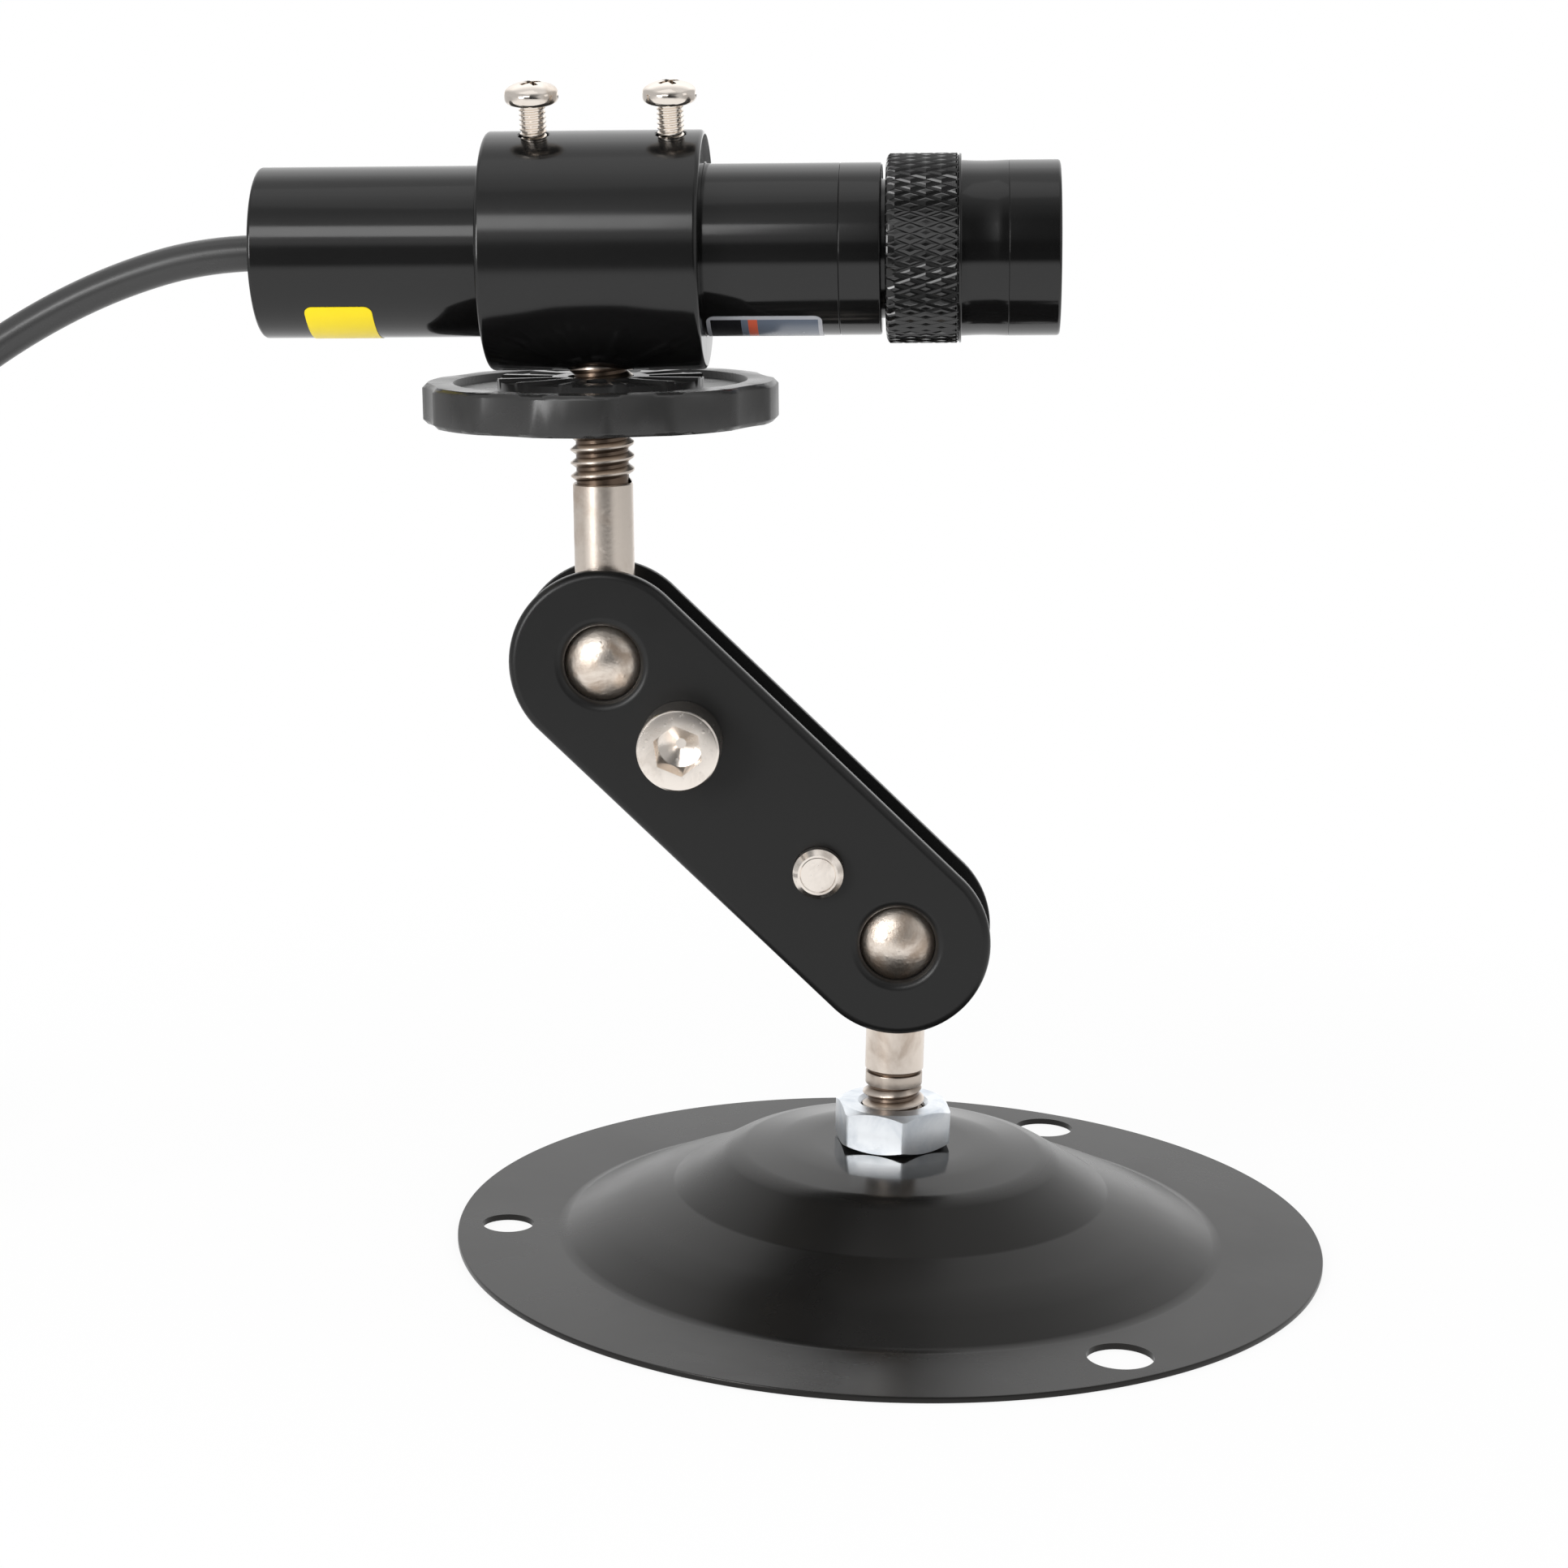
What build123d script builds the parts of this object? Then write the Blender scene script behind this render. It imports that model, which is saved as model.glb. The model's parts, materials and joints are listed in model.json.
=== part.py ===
import math
import os

from build123d import *

# A laser diode module in an adjustable holder: a round base, a ball jointed arm,
# a clamping collar and the module with its focusing ring and lead.
# Millimetres. +Z is up, the origin is the middle of the base's underside,
# and the module points along +X.

# Base plate, pressed from sheet
base_radius = 42.9
base_sheet = 0.6
dome_height = 9.25
foot_radius = 32.4
dome_flat_inset = 22.9
dome_flat_bend = 25.0
shoulder_inset = 16.9
shoulder_drop = 0.85
shoulder_bend = 5.0
crease_inset = 11.1
crease_drop = 4.4
crease_bend = 2.0
bulge_inset = 5.4
bulge_height = 2.65
bulge_bend = 40.0
foot_bend = 3.0
hole_edge_distance = 4.9
base_hole_radius = 3.1
base_small_hole_radius = 2.55
base_hole_angles = (64.6, -55.4)
base_small_hole_angle = 184.6

# Ball studs
ball_radius = 5.0
stud_radius = 2.875
stud_length = 30.4
lower_thread_length = 16.8
upper_thread_length = 14.0
thread_radius = 3.1
thread_chamfer = 0.6
lower_end_gap = 0.6
upper_end_gap = 0.4

# Base nuts and washer
nut_across_flats = 10.5
nut_height = 4.1
nut_turn = 12.0
nut_crown = 0.5
inner_nut_height = 3.2
washer_radius = 6.0
washer_height = 0.8

# Arm plates and clamp bolts
arm_angle = 137.5
ball_spacing = 39.4
plate_gap = 6.3
plate_thickness = 1.5
plate_half_width = 9.0
plate_edge = 0.8
ball_hole_radius = 3.65
ball_hole_edge = 0.5
bolt_offset = 10.6
bolt_radius = 2.375
bolt_head_radius = 3.95
bolt_head_height = 4.9
bolt_head_edge = 0.35
bolt_socket_width = 4.0
bolt_socket_depth = 2.6
bolt_end = 1.8
bolt_chamfer = 0.5

# Lock disc under the collar
head_pitch = 1.9
hub_gap = 0.6
disc_radius = 16.9
disc_thickness = 3.85
disc_edge = 0.45
disc_lobes = 8
flute_radius = 20.0
flute_depth = 0.5
flute_start = 18.35
disc_rim_width = 2.9
disc_groove_depth = 0.7
hub_radius = 9.8
hub_height = 0.4
hub_boss_radius = 4.6
hub_pockets = 12
hub_pocket_start = 1.7
hub_pocket_turn = 22.0
hub_pocket_depth = 0.25

# Collar and its screws
collar_radius = 11.15
collar_length = 20.5
collar_edge = 0.4
screw_spacing = 12.8
screw_offset = 0.9
screw_turn = 14.0
screw_radius = 1.25
screw_tip_gap = 0.1
screw_proud = 3.0
screw_head_radius = 2.5
screw_head_height = 2.0
screw_head_crown = 0.7
screw_cross_width = 0.6
screw_cross_length = 2.6
screw_cross_depth = 0.9

# Module body, stations along its axis from the stud's axis
module_radius = 8.0
module_wall = 1.5
module_rear = -31.8
housing_end = 22.9
sleeve_end = 26.8
rear_edge = 0.3

# Front sleeve, which carries the focusing ring
sleeve_spigot = 5.0
sleeve_bore_radius = 4.0
neck_radius = 6.45
neck_end = 27.15
journal_radius = 6.0
journal_end = 31.4
cell_bore_start = 27.0
key_slot_width = 1.5
key_slot_depth = 0.65
clip_groove_start = 30.4
clip_groove_width = 0.6
clip_groove_depth = 0.55
clip_thickness = 0.5
clip_width = 0.6
clip_gap_angle = 50.0

# Focusing ring
knurl_radius = 8.8
knurl_end = 34.2
knurl_edge = 0.35
ring_end = 38.6
ring_radius = 8.14
ring_waist_radius = 8.07
ring_step = 30.3
ring_recess_radius = 6.5
ring_recess_end = 31.6
focus_thread_radius = 5.3
ring_counterbore_start = 36.2

# Front cap, window and retainer
cap_end = 43.4
cap_edge = 0.45
cap_spigot_radius = 6.5
cap_spigot_length = 2.2
cap_spigot_bore = 5.2
aperture_radius = 4.0
window_radius = 5.0
window_start = 41.3
window_thickness = 1.2
window_retainer_thickness = 0.6

# Lens cell
cell_start = 27.9
cell_flange_start = 32.2
cell_end = 35.0
cell_bore_radius = 2.8
lens_seat = 32.6
lens_radius = 3.5
lens_edge_thickness = 1.2
lens_crown = 0.6
lens_retainer_thickness = 0.5

# Diode mount and diode
mount_start = 5.0
diode_face = 13.9
beam_bore_radius = 4.0
diode_base_radius = 2.8
diode_base_thickness = 1.2
diode_can_radius = 2.1
diode_can_length = 2.4
diode_window_radius = 0.8
pin_bore_radius = 1.75
pin_radius = 0.225
pin_circle_radius = 1.27
pin_length = 10.0

# Driver board and its components
board_half_width = 6.2
board_thickness = 1.0
board_length = 24.0
chip_length = 5.0
chip_width = 4.0
chip_height = 1.5
chip_station = -6.5
chip_leg_length = 1.0
chip_leg_width = 0.45
chip_leg_height = 0.25
chip_leg_pitch = 1.27
capacitor_radius = 2.0
capacitor_height = 4.4
capacitor_station = -13.0
trimmer_size = 3.6
trimmer_height = 2.0
trimmer_station = 0.6
trimmer_screw_radius = 1.1
trimmer_slot_width = 0.4
trimmer_slot_depth = 0.5

# Rear plug, labels
plug_recess = 0.3
rear_plug_thickness = 4.0
label_thickness = 0.06
yellow_label_start = -26.95
yellow_label_width = 6.35
yellow_label_top = -36.0
front_label_start = 10.5
front_label_width = 10.8
front_label_top = -47.0
label_wrap = 75.0

# Lead, its coil and its plug
lead_radius = 1.7
jacket_end = -23.0
wire_radius = 0.5
wire_spread = 0.75
wire_length = 6.5
coil_outer_turn = 20.75
coil_inner_turn = 17.25
coil_layers = 2
coil_centre_x = -125.75
coil_centre_y = 13.0
coil_stub = 13.0
plug_relief_length = 10.0
plug_relief_radius = 2.3
plug_body_radius = 5.0
plug_body_length = 16.0
plug_body_edge = 0.8
plug_barrel_radius = 2.75
plug_barrel_length = 9.5
plug_bore_radius = 1.05

# Clearances
ball_clearance = 0.05
running_clearance = 0.05
seat_clearance = 0.02
bolt_clearance = 0.1
lead_clearance = 0.05

os.makedirs("parts", exist_ok=True)


def direction(angle):
    """A direction in the upright plane of the arm and the module."""
    return Vector(math.cos(math.radians(angle)), 0, math.sin(math.radians(angle)))


# Places and planes: the lower stud's end stays above the floor, the upper one's below the module
lower_ball_height = stud_length + lower_end_gap
module_axis_height = stud_length + upper_end_gap + module_radius
lower_ball = Vector(0, 0, lower_ball_height)
arm_way = direction(arm_angle)
upper_ball = lower_ball + arm_way * ball_spacing
module_way = direction(head_pitch)
stud_way = direction(head_pitch + 90)
module_origin = upper_ball + stud_way * module_axis_height
towards_front = (0, -1, 0)

base_section = Plane.XZ
lower_stud_section = Plane(lower_ball, x_dir=(1, 0, 0), z_dir=towards_front)
upper_stud_section = Plane(upper_ball, x_dir=module_way, z_dir=towards_front)
upper_stud_plane = Plane(upper_ball, x_dir=module_way, z_dir=stud_way)
arm_plane = Plane(lower_ball, x_dir=arm_way, z_dir=towards_front)
module_section = Plane(module_origin, x_dir=module_way, z_dir=towards_front)
module_plane = Plane(module_origin, x_dir=(0, 1, 0), z_dir=module_way)
base_axis = Axis.Z
stud_axis = Axis(upper_ball, stud_way)
module_axis = Axis(module_origin, module_way)


def outline(plane, points):
    """A closed outline of straight lines on a plane."""
    with BuildSketch(plane) as shape:
        with BuildLine():
            Polyline(points, close=True)
        make_face()
    return shape.sketch


def tube_outline(plane, start, end, inner, outer):
    """Half the section of a round sleeve that lies along the plane's x."""
    return outline(plane, [(start, inner), (end, inner), (end, outer), (start, outer)])


def finish(piece, label):
    """Name a finished piece and write it out."""
    piece.part.label = label
    export_step(piece.part, f"parts/{label}.step")


# Base plate: one pressed sheet with a domed middle and three holes in its flange
dome_top = dome_height + base_sheet
stud_hole_radius = thread_radius + bolt_clearance
hole_circle_radius = base_radius - hole_edge_distance

with BuildPart() as base_plate:
    with BuildSketch(base_section):
        with BuildLine():
            FilletPolyline(
                (stud_hole_radius, dome_height),
                (foot_radius - dome_flat_inset, dome_height),
                (foot_radius - shoulder_inset, dome_height - shoulder_drop),
                (foot_radius - crease_inset, dome_height - crease_drop),
                (foot_radius - bulge_inset, bulge_height),
                (foot_radius, 0),
                (base_radius, 0),
                radius=[dome_flat_bend, shoulder_bend, crease_bend, bulge_bend, foot_bend],
            )
            offset(amount=base_sheet, side=Side.LEFT)
        make_face()
    revolve(axis=base_axis)
    with BuildSketch(Plane.XY):
        for hole_angle in base_hole_angles:
            with PolarLocations(hole_circle_radius, 1, start_angle=hole_angle):
                Circle(base_hole_radius)
        with PolarLocations(hole_circle_radius, 1, start_angle=base_small_hole_angle):
            Circle(base_small_hole_radius)
    extrude(amount=dome_top, mode=Mode.SUBTRACT)
finish(base_plate, "base_plate")


def hex_nut(bottom, height):
    """A plain hexagon nut on the lower stud, its corners crowned on both faces."""
    bore = thread_radius + running_clearance
    corner_radius = nut_across_flats / math.sqrt(3)
    top = bottom + height
    with BuildPart() as nut:
        with BuildSketch(Plane.XY.offset(bottom)):
            RegularPolygon(nut_across_flats / 2, 6, major_radius=False, rotation=nut_turn)
            Circle(bore, mode=Mode.SUBTRACT)
        extrude(amount=height)
        crown = outline(base_section, [
            (0, bottom), (corner_radius - nut_crown, bottom),
            (corner_radius, bottom + nut_crown / 2), (corner_radius, top - nut_crown / 2),
            (corner_radius - nut_crown, top), (0, top),
        ])
        revolve(crown, axis=base_axis, mode=Mode.INTERSECT)
    return nut


base_nut = hex_nut(dome_top, nut_height)
finish(base_nut, "base_nut")

with BuildPart() as inner_washer:
    with BuildSketch(Plane.XY.offset(dome_height)):
        Circle(washer_radius)
        Circle(stud_hole_radius, mode=Mode.SUBTRACT)
    extrude(amount=-washer_height)
finish(inner_washer, "inner_washer")

inner_nut = hex_nut(dome_height - washer_height - inner_nut_height, inner_nut_height)
finish(inner_nut, "inner_nut")


def ball_stud(section, axis, way, thread_length):
    """A stud with a ball on one end: way is 1 for a stud that rises, -1 for one that hangs."""
    plain_length = stud_length - thread_length
    shoulder = math.sqrt(ball_radius**2 - stud_radius**2)
    with BuildPart() as stud:
        with BuildSketch(section):
            with BuildLine():
                Line((0, -way * ball_radius), (0, way * stud_length))
                Polyline(
                    (0, way * stud_length),
                    (thread_radius - thread_chamfer, way * stud_length),
                    (thread_radius, way * (stud_length - thread_chamfer)),
                    (thread_radius, way * plain_length),
                    (stud_radius, way * plain_length),
                    (stud_radius, way * shoulder),
                )
                ThreePointArc((stud_radius, way * shoulder), (ball_radius, 0), (0, -way * ball_radius))
            make_face()
        revolve(axis=axis)
    return stud


lower_ball_stud = ball_stud(lower_stud_section, base_axis, -1, lower_thread_length)
finish(lower_ball_stud, "lower_ball_stud")
upper_ball_stud = ball_stud(upper_stud_section, stud_axis, 1, upper_thread_length)
finish(upper_ball_stud, "upper_ball_stud")

# Arm: two plates clamp both balls, drawn together by a bolt beside each ball
upper_bolt_place = ball_spacing - bolt_offset
lower_bolt_place = bolt_offset


def arm_plate(side, bolt_head_place, bolt_thread_place):
    """One arm plate: side is 1 for the front and -1 for the rear."""
    inner_face = arm_plane.offset(side * plate_gap / 2)
    with BuildPart() as plate:
        with BuildSketch(inner_face):
            with Locations((ball_spacing / 2, 0)):
                SlotCenterToCenter(ball_spacing, 2 * plate_half_width)
        extrude(amount=side * plate_thickness)
        outer_face = plate.faces().sort_by(Axis.Y)[0 if side > 0 else -1]
        fillet(outer_face.edges(), plate_edge)
        with BuildSketch(inner_face):
            with Locations((0, 0), (ball_spacing, 0)):
                Circle(ball_hole_radius)
            with Locations((bolt_head_place, 0)):
                Circle(bolt_radius + bolt_clearance)
            with Locations((bolt_thread_place, 0)):
                Circle(bolt_radius + seat_clearance)
        extrude(amount=side * plate_thickness, mode=Mode.SUBTRACT)
        outer_face = plate.faces().sort_by(Axis.Y)[0 if side > 0 else -1]
        ball_rims = outer_face.edges().filter_by(GeomType.CIRCLE).filter_by(
            lambda rim: abs(rim.radius - ball_hole_radius) < 0.01)
        fillet(ball_rims, ball_hole_edge)
        with Locations(lower_ball, upper_ball):
            Sphere(ball_radius + ball_clearance, mode=Mode.SUBTRACT)
    return plate


front_plate = arm_plate(1, upper_bolt_place, lower_bolt_place)
finish(front_plate, "front_plate")
rear_plate = arm_plate(-1, lower_bolt_place, upper_bolt_place)
finish(rear_plate, "rear_plate")


def clamp_bolt(side, place):
    """A socket head bolt through both plates, its head on the plate at side."""
    head_face = plate_gap / 2 + plate_thickness
    centre = lower_ball + arm_way * place
    head_plane = Plane(centre, x_dir=arm_way, z_dir=towards_front)
    head_top = head_face + bolt_head_height
    with BuildPart() as bolt:
        with BuildSketch(head_plane.offset(side * head_face)):
            Circle(bolt_head_radius)
        extrude(amount=side * bolt_head_height)
        head_rim = bolt.edges().sort_by(Axis.Y)[0 if side > 0 else -1]
        fillet(head_rim, bolt_head_edge)
        with BuildSketch(head_plane.offset(side * head_face)):
            Circle(bolt_radius)
        extrude(amount=-side * (2 * head_face + bolt_end))
        end_rim = bolt.edges().sort_by(Axis.Y)[-1 if side > 0 else 0]
        chamfer(end_rim, bolt_chamfer)
        with BuildSketch(head_plane.offset(side * head_top)):
            RegularPolygon(bolt_socket_width / 2, 6, major_radius=False, rotation=10)
        extrude(amount=-side * bolt_socket_depth, mode=Mode.SUBTRACT)
    return bolt


upper_clamp_bolt = clamp_bolt(1, upper_bolt_place)
finish(upper_clamp_bolt, "upper_clamp_bolt")
lower_clamp_bolt = clamp_bolt(-1, lower_bolt_place)
finish(lower_clamp_bolt, "lower_clamp_bolt")

# Lock disc: a lobed hand nut that locks the collar on its stud
hub_top = module_axis_height - collar_radius - hub_gap
disc_top = hub_top - hub_height
disc_bottom = disc_top - disc_thickness
groove_floor = disc_top - disc_groove_depth
flute_centre = disc_radius - flute_depth + flute_radius
pocket_inner = hub_boss_radius / 2
pocket_outer = (hub_radius + disc_radius - disc_rim_width) / 2
pocket_slope = math.tan(math.radians(hub_pocket_turn / 2))

with BuildPart() as lock_disc:
    with BuildSketch(upper_stud_plane.offset(disc_bottom)):
        Circle(disc_radius)
        with PolarLocations(flute_centre, disc_lobes, start_angle=flute_start):
            Circle(flute_radius, mode=Mode.SUBTRACT)
    extrude(amount=disc_thickness)
    chamfer(lock_disc.faces().filter_by(upper_stud_plane).edges(), disc_edge)
    with BuildSketch(upper_stud_plane.offset(disc_top)):
        Circle(disc_radius - disc_rim_width)
    extrude(amount=-disc_groove_depth, mode=Mode.SUBTRACT)
    with BuildSketch(upper_stud_plane.offset(groove_floor)):
        Circle(hub_radius)
    extrude(amount=hub_top - groove_floor)
    with BuildSketch(upper_stud_plane.offset(hub_top)):
        with PolarLocations(0, hub_pockets, start_angle=hub_pocket_start):
            Polygon(
                (pocket_inner, pocket_inner * pocket_slope),
                (pocket_outer, pocket_outer * pocket_slope),
                (pocket_outer, -pocket_outer * pocket_slope),
                (pocket_inner, -pocket_inner * pocket_slope),
                align=None,
            )
        Circle(hub_boss_radius, mode=Mode.SUBTRACT)
    extrude(amount=-hub_pocket_depth, mode=Mode.SUBTRACT)
    with BuildSketch(upper_stud_plane):
        Circle(thread_radius + running_clearance)
    extrude(amount=hub_top, mode=Mode.SUBTRACT)
finish(lock_disc, "lock_disc")

# Collar: a ring round the module, tapped for its stud below and two screws above
collar_bore = module_radius + running_clearance
screw_way = stud_way * math.cos(math.radians(screw_turn)) + Vector(towards_front) * math.sin(
    math.radians(screw_turn))
screw_places = (screw_offset - screw_spacing / 2, screw_offset + screw_spacing / 2)


def screw_plane(place, height):
    """A plane square to a collar screw, at a height above the module's axis."""
    return Plane(
        module_origin + module_way * place + screw_way * height, x_dir=module_way, z_dir=screw_way)


with BuildPart() as collar:
    revolve(
        tube_outline(module_section, -collar_length / 2, collar_length / 2, collar_bore, collar_radius),
        axis=module_axis)
    outer_rims = collar.edges().filter_by(GeomType.CIRCLE).filter_by(
        lambda rim: abs(rim.radius - collar_radius) < 0.01)
    chamfer(outer_rims, collar_edge)
    with BuildSketch(upper_stud_plane.offset(module_axis_height)):
        Circle(thread_radius + seat_clearance)
    extrude(amount=-collar_radius, mode=Mode.SUBTRACT)
    for screw_place in screw_places:
        with BuildSketch(screw_plane(screw_place, 0)):
            Circle(screw_radius + seat_clearance)
        extrude(amount=collar_radius, mode=Mode.SUBTRACT)
finish(collar, "collar")


def collar_screw(place):
    """A crowned cross head screw whose tip grips the module."""
    tip = module_radius + screw_tip_gap
    seat = collar_radius + screw_proud
    head_side = seat + screw_head_height - screw_head_crown
    head_top = seat + screw_head_height
    root = module_origin + module_way * place
    section = Plane(root, x_dir=module_way, z_dir=module_way.cross(screw_way))
    with BuildPart() as screw:
        with BuildSketch(section):
            with BuildLine():
                Polyline(
                    (0, head_top), (0, tip), (screw_radius, tip), (screw_radius, seat),
                    (screw_head_radius, seat), (screw_head_radius, head_side),
                )
                TangentArc((0, head_top), (screw_head_radius, head_side), tangent=(1, 0))
            make_face()
        revolve(axis=Axis(root, screw_way))
        with BuildSketch(screw_plane(place, head_top)):
            Rectangle(screw_cross_length, screw_cross_width)
            Rectangle(screw_cross_width, screw_cross_length)
        extrude(amount=-screw_cross_depth, mode=Mode.SUBTRACT)
    return screw


rear_collar_screw = collar_screw(screw_places[0])
finish(rear_collar_screw, "rear_collar_screw")
front_collar_screw = collar_screw(screw_places[1])
finish(front_collar_screw, "front_collar_screw")

# Module housing and the parts fixed in it
housing_bore = module_radius - module_wall
insert_radius = housing_bore - seat_clearance

with BuildPart() as housing_tube:
    revolve(
        tube_outline(module_section, module_rear, housing_end, housing_bore, module_radius),
        axis=module_axis)
    rear_rim = housing_tube.edges().filter_by(GeomType.CIRCLE).group_by(Axis.X)[0].sort_by(
        SortBy.RADIUS)[-1]
    chamfer(rear_rim, rear_edge)
finish(housing_tube, "housing_tube")

rear_plug_start = module_rear + plug_recess
with BuildPart() as rear_plug:
    revolve(
        tube_outline(
            module_section, rear_plug_start, rear_plug_start + rear_plug_thickness,
            lead_radius + lead_clearance, insert_radius),
        axis=module_axis)
finish(rear_plug, "rear_plug")

# Front sleeve: a flange that shows, a spigot in the housing and a journal for the ring
spigot_start = housing_end - sleeve_spigot
cell_tail_radius = sleeve_bore_radius + 0.6
cell_bore = cell_tail_radius + running_clearance
clip_groove_floor = journal_radius - clip_groove_depth
clip_groove_end = clip_groove_start + clip_groove_width
key_slot_top = cell_bore + key_slot_depth

with BuildPart() as front_sleeve:
    revolve(
        outline(module_section, [
            (spigot_start, sleeve_bore_radius), (cell_bore_start, sleeve_bore_radius),
            (cell_bore_start, cell_bore), (journal_end, cell_bore), (journal_end, journal_radius),
            (clip_groove_end, journal_radius), (clip_groove_end, clip_groove_floor),
            (clip_groove_start, clip_groove_floor), (clip_groove_start, journal_radius),
            (neck_end, journal_radius), (neck_end, neck_radius), (sleeve_end, neck_radius),
            (sleeve_end, module_radius), (housing_end, module_radius),
            (housing_end, insert_radius), (spigot_start, insert_radius),
        ]),
        axis=module_axis)
    with BuildSketch(module_plane.offset(cell_bore_start)):
        with Locations((0, key_slot_top / 2)):
            Rectangle(key_slot_width, key_slot_top)
    extrude(amount=journal_end - cell_bore_start, mode=Mode.SUBTRACT)
finish(front_sleeve, "front_sleeve")

# Snap ring in the journal's groove, which keeps the focusing ring on
clip_inner = journal_radius - clip_groove_depth / 2
clip_outer = clip_inner + clip_width
with BuildPart() as ring_clip:
    revolve(
        tube_outline(
            module_section, clip_groove_start, clip_groove_start + clip_thickness,
            clip_inner, clip_outer),
        axis=module_axis, revolution_arc=360 - clip_gap_angle)
finish(ring_clip, "ring_clip")

# Focusing ring: a gripped band, a waisted band and the thread that drives the lens cell
ring_start = neck_end + running_clearance
counterbore_radius = cap_spigot_radius + seat_clearance
waist_middle = (knurl_end + ring_end) / 2

with BuildPart() as focus_ring:
    with BuildSketch(module_section):
        with BuildLine():
            Polyline(
                (ring_end, ring_radius), (ring_end, counterbore_radius),
                (ring_counterbore_start, counterbore_radius),
                (ring_counterbore_start, focus_thread_radius),
                (ring_recess_end, focus_thread_radius), (ring_recess_end, ring_recess_radius),
                (ring_step, ring_recess_radius), (ring_step, journal_radius + running_clearance),
                (ring_start, journal_radius + running_clearance),
                (ring_start, knurl_radius - knurl_edge), (ring_start + knurl_edge, knurl_radius),
                (knurl_end, knurl_radius), (knurl_end, ring_radius),
            )
            ThreePointArc(
                (knurl_end, ring_radius), (waist_middle, ring_waist_radius), (ring_end, ring_radius))
        make_face()
    revolve(axis=module_axis)
finish(focus_ring, "focus_ring")

# Front cap, its window and the ring that holds the window
window_recess = window_radius + seat_clearance
window_end = window_start + window_thickness
spigot_floor = ring_end - cap_spigot_length + 1.6

with BuildPart() as front_cap:
    revolve(
        outline(module_section, [
            (ring_end - cap_spigot_length, cap_spigot_bore), (spigot_floor, cap_spigot_bore),
            (spigot_floor, aperture_radius), (window_start, aperture_radius),
            (window_start, window_recess), (cap_end, window_recess),
            (cap_end, ring_radius - cap_edge), (cap_end - cap_edge, ring_radius),
            (ring_end, ring_radius), (ring_end, cap_spigot_radius),
            (ring_end - cap_spigot_length, cap_spigot_radius),
        ]),
        axis=module_axis)
finish(front_cap, "front_cap")

with BuildPart() as front_window:
    with BuildSketch(module_plane.offset(window_start)):
        Circle(window_radius)
    extrude(amount=window_thickness)
finish(front_window, "front_window")

with BuildPart() as window_retainer:
    with BuildSketch(module_plane.offset(window_end)):
        Circle(window_radius)
        Circle(aperture_radius, mode=Mode.SUBTRACT)
    extrude(amount=window_retainer_thickness)
finish(window_retainer, "window_retainer")

# Lens cell: threaded in the focusing ring, its tail keyed so that it slides without turning
cell_thread_radius = focus_thread_radius - running_clearance
lens_bore = lens_radius + seat_clearance
lens_edge_end = lens_seat + lens_edge_thickness
key_width = key_slot_width - 2 * running_clearance
key_top = key_slot_top - 2 * running_clearance
key_start = cell_start + 0.3

with BuildPart() as lens_cell:
    revolve(
        outline(module_section, [
            (cell_start, cell_bore_radius), (lens_seat, cell_bore_radius), (lens_seat, lens_bore),
            (cell_end, lens_bore), (cell_end, cell_thread_radius),
            (cell_flange_start, cell_thread_radius), (cell_flange_start, cell_tail_radius),
            (cell_start, cell_tail_radius),
        ]),
        axis=module_axis)
    with BuildSketch(module_plane.offset(key_start)):
        with Locations((0, (cell_bore_radius + key_top) / 2 + cell_bore_radius / 4)):
            Rectangle(key_width, key_top - cell_bore_radius - cell_bore_radius / 2)
    extrude(amount=cell_flange_start - key_start)
finish(lens_cell, "lens_cell")

with BuildPart() as collimator_lens:
    with BuildSketch(module_section):
        with BuildLine():
            Polyline(
                (lens_edge_end + lens_crown, 0), (lens_seat, 0), (lens_seat, lens_radius),
                (lens_edge_end, lens_radius), (lens_edge_end, cell_bore_radius),
            )
            TangentArc(
                (lens_edge_end + lens_crown, 0), (lens_edge_end, cell_bore_radius), tangent=(0, 1))
        make_face()
    revolve(axis=module_axis)
finish(collimator_lens, "collimator_lens")

with BuildPart() as lens_retainer:
    with BuildSketch(module_plane.offset(lens_edge_end)):
        Circle(lens_radius)
        Circle(cell_bore_radius + seat_clearance, mode=Mode.SUBTRACT)
    extrude(amount=lens_retainer_thickness)
finish(lens_retainer, "lens_retainer")

# Diode mount: a brass heat sink pressed in the housing behind the sleeve
diode_seat = diode_face - diode_base_thickness - 0.1

with BuildPart() as diode_mount:
    revolve(
        outline(module_section, [
            (mount_start, pin_bore_radius), (diode_seat, pin_bore_radius),
            (diode_seat, diode_base_radius + seat_clearance),
            (diode_face, diode_base_radius + seat_clearance), (diode_face, beam_bore_radius),
            (spigot_start, beam_bore_radius), (spigot_start, insert_radius),
            (mount_start, insert_radius),
        ]),
        axis=module_axis)
finish(diode_mount, "diode_mount")

with BuildPart() as laser_diode:
    with BuildSketch(module_plane.offset(diode_seat)):
        Circle(diode_base_radius)
    extrude(amount=diode_base_thickness)
    with BuildSketch(module_plane.offset(diode_seat)):
        Circle(diode_can_radius)
    extrude(amount=diode_base_thickness + diode_can_length)
    with BuildSketch(module_plane.offset(diode_seat + diode_base_thickness + diode_can_length)):
        Circle(diode_window_radius)
    extrude(amount=-0.2, mode=Mode.SUBTRACT)
    with BuildSketch(module_plane.offset(diode_seat)):
        with PolarLocations(pin_circle_radius, 3, start_angle=90):
            Circle(pin_radius)
    extrude(amount=-pin_length)
finish(laser_diode, "laser_diode")

# Driver board: two of the diode's pins lie on it
board_top = -pin_circle_radius / 2 - pin_radius
board_plane = Plane(module_origin + stud_way * board_top, x_dir=module_way, z_dir=stud_way)

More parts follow.
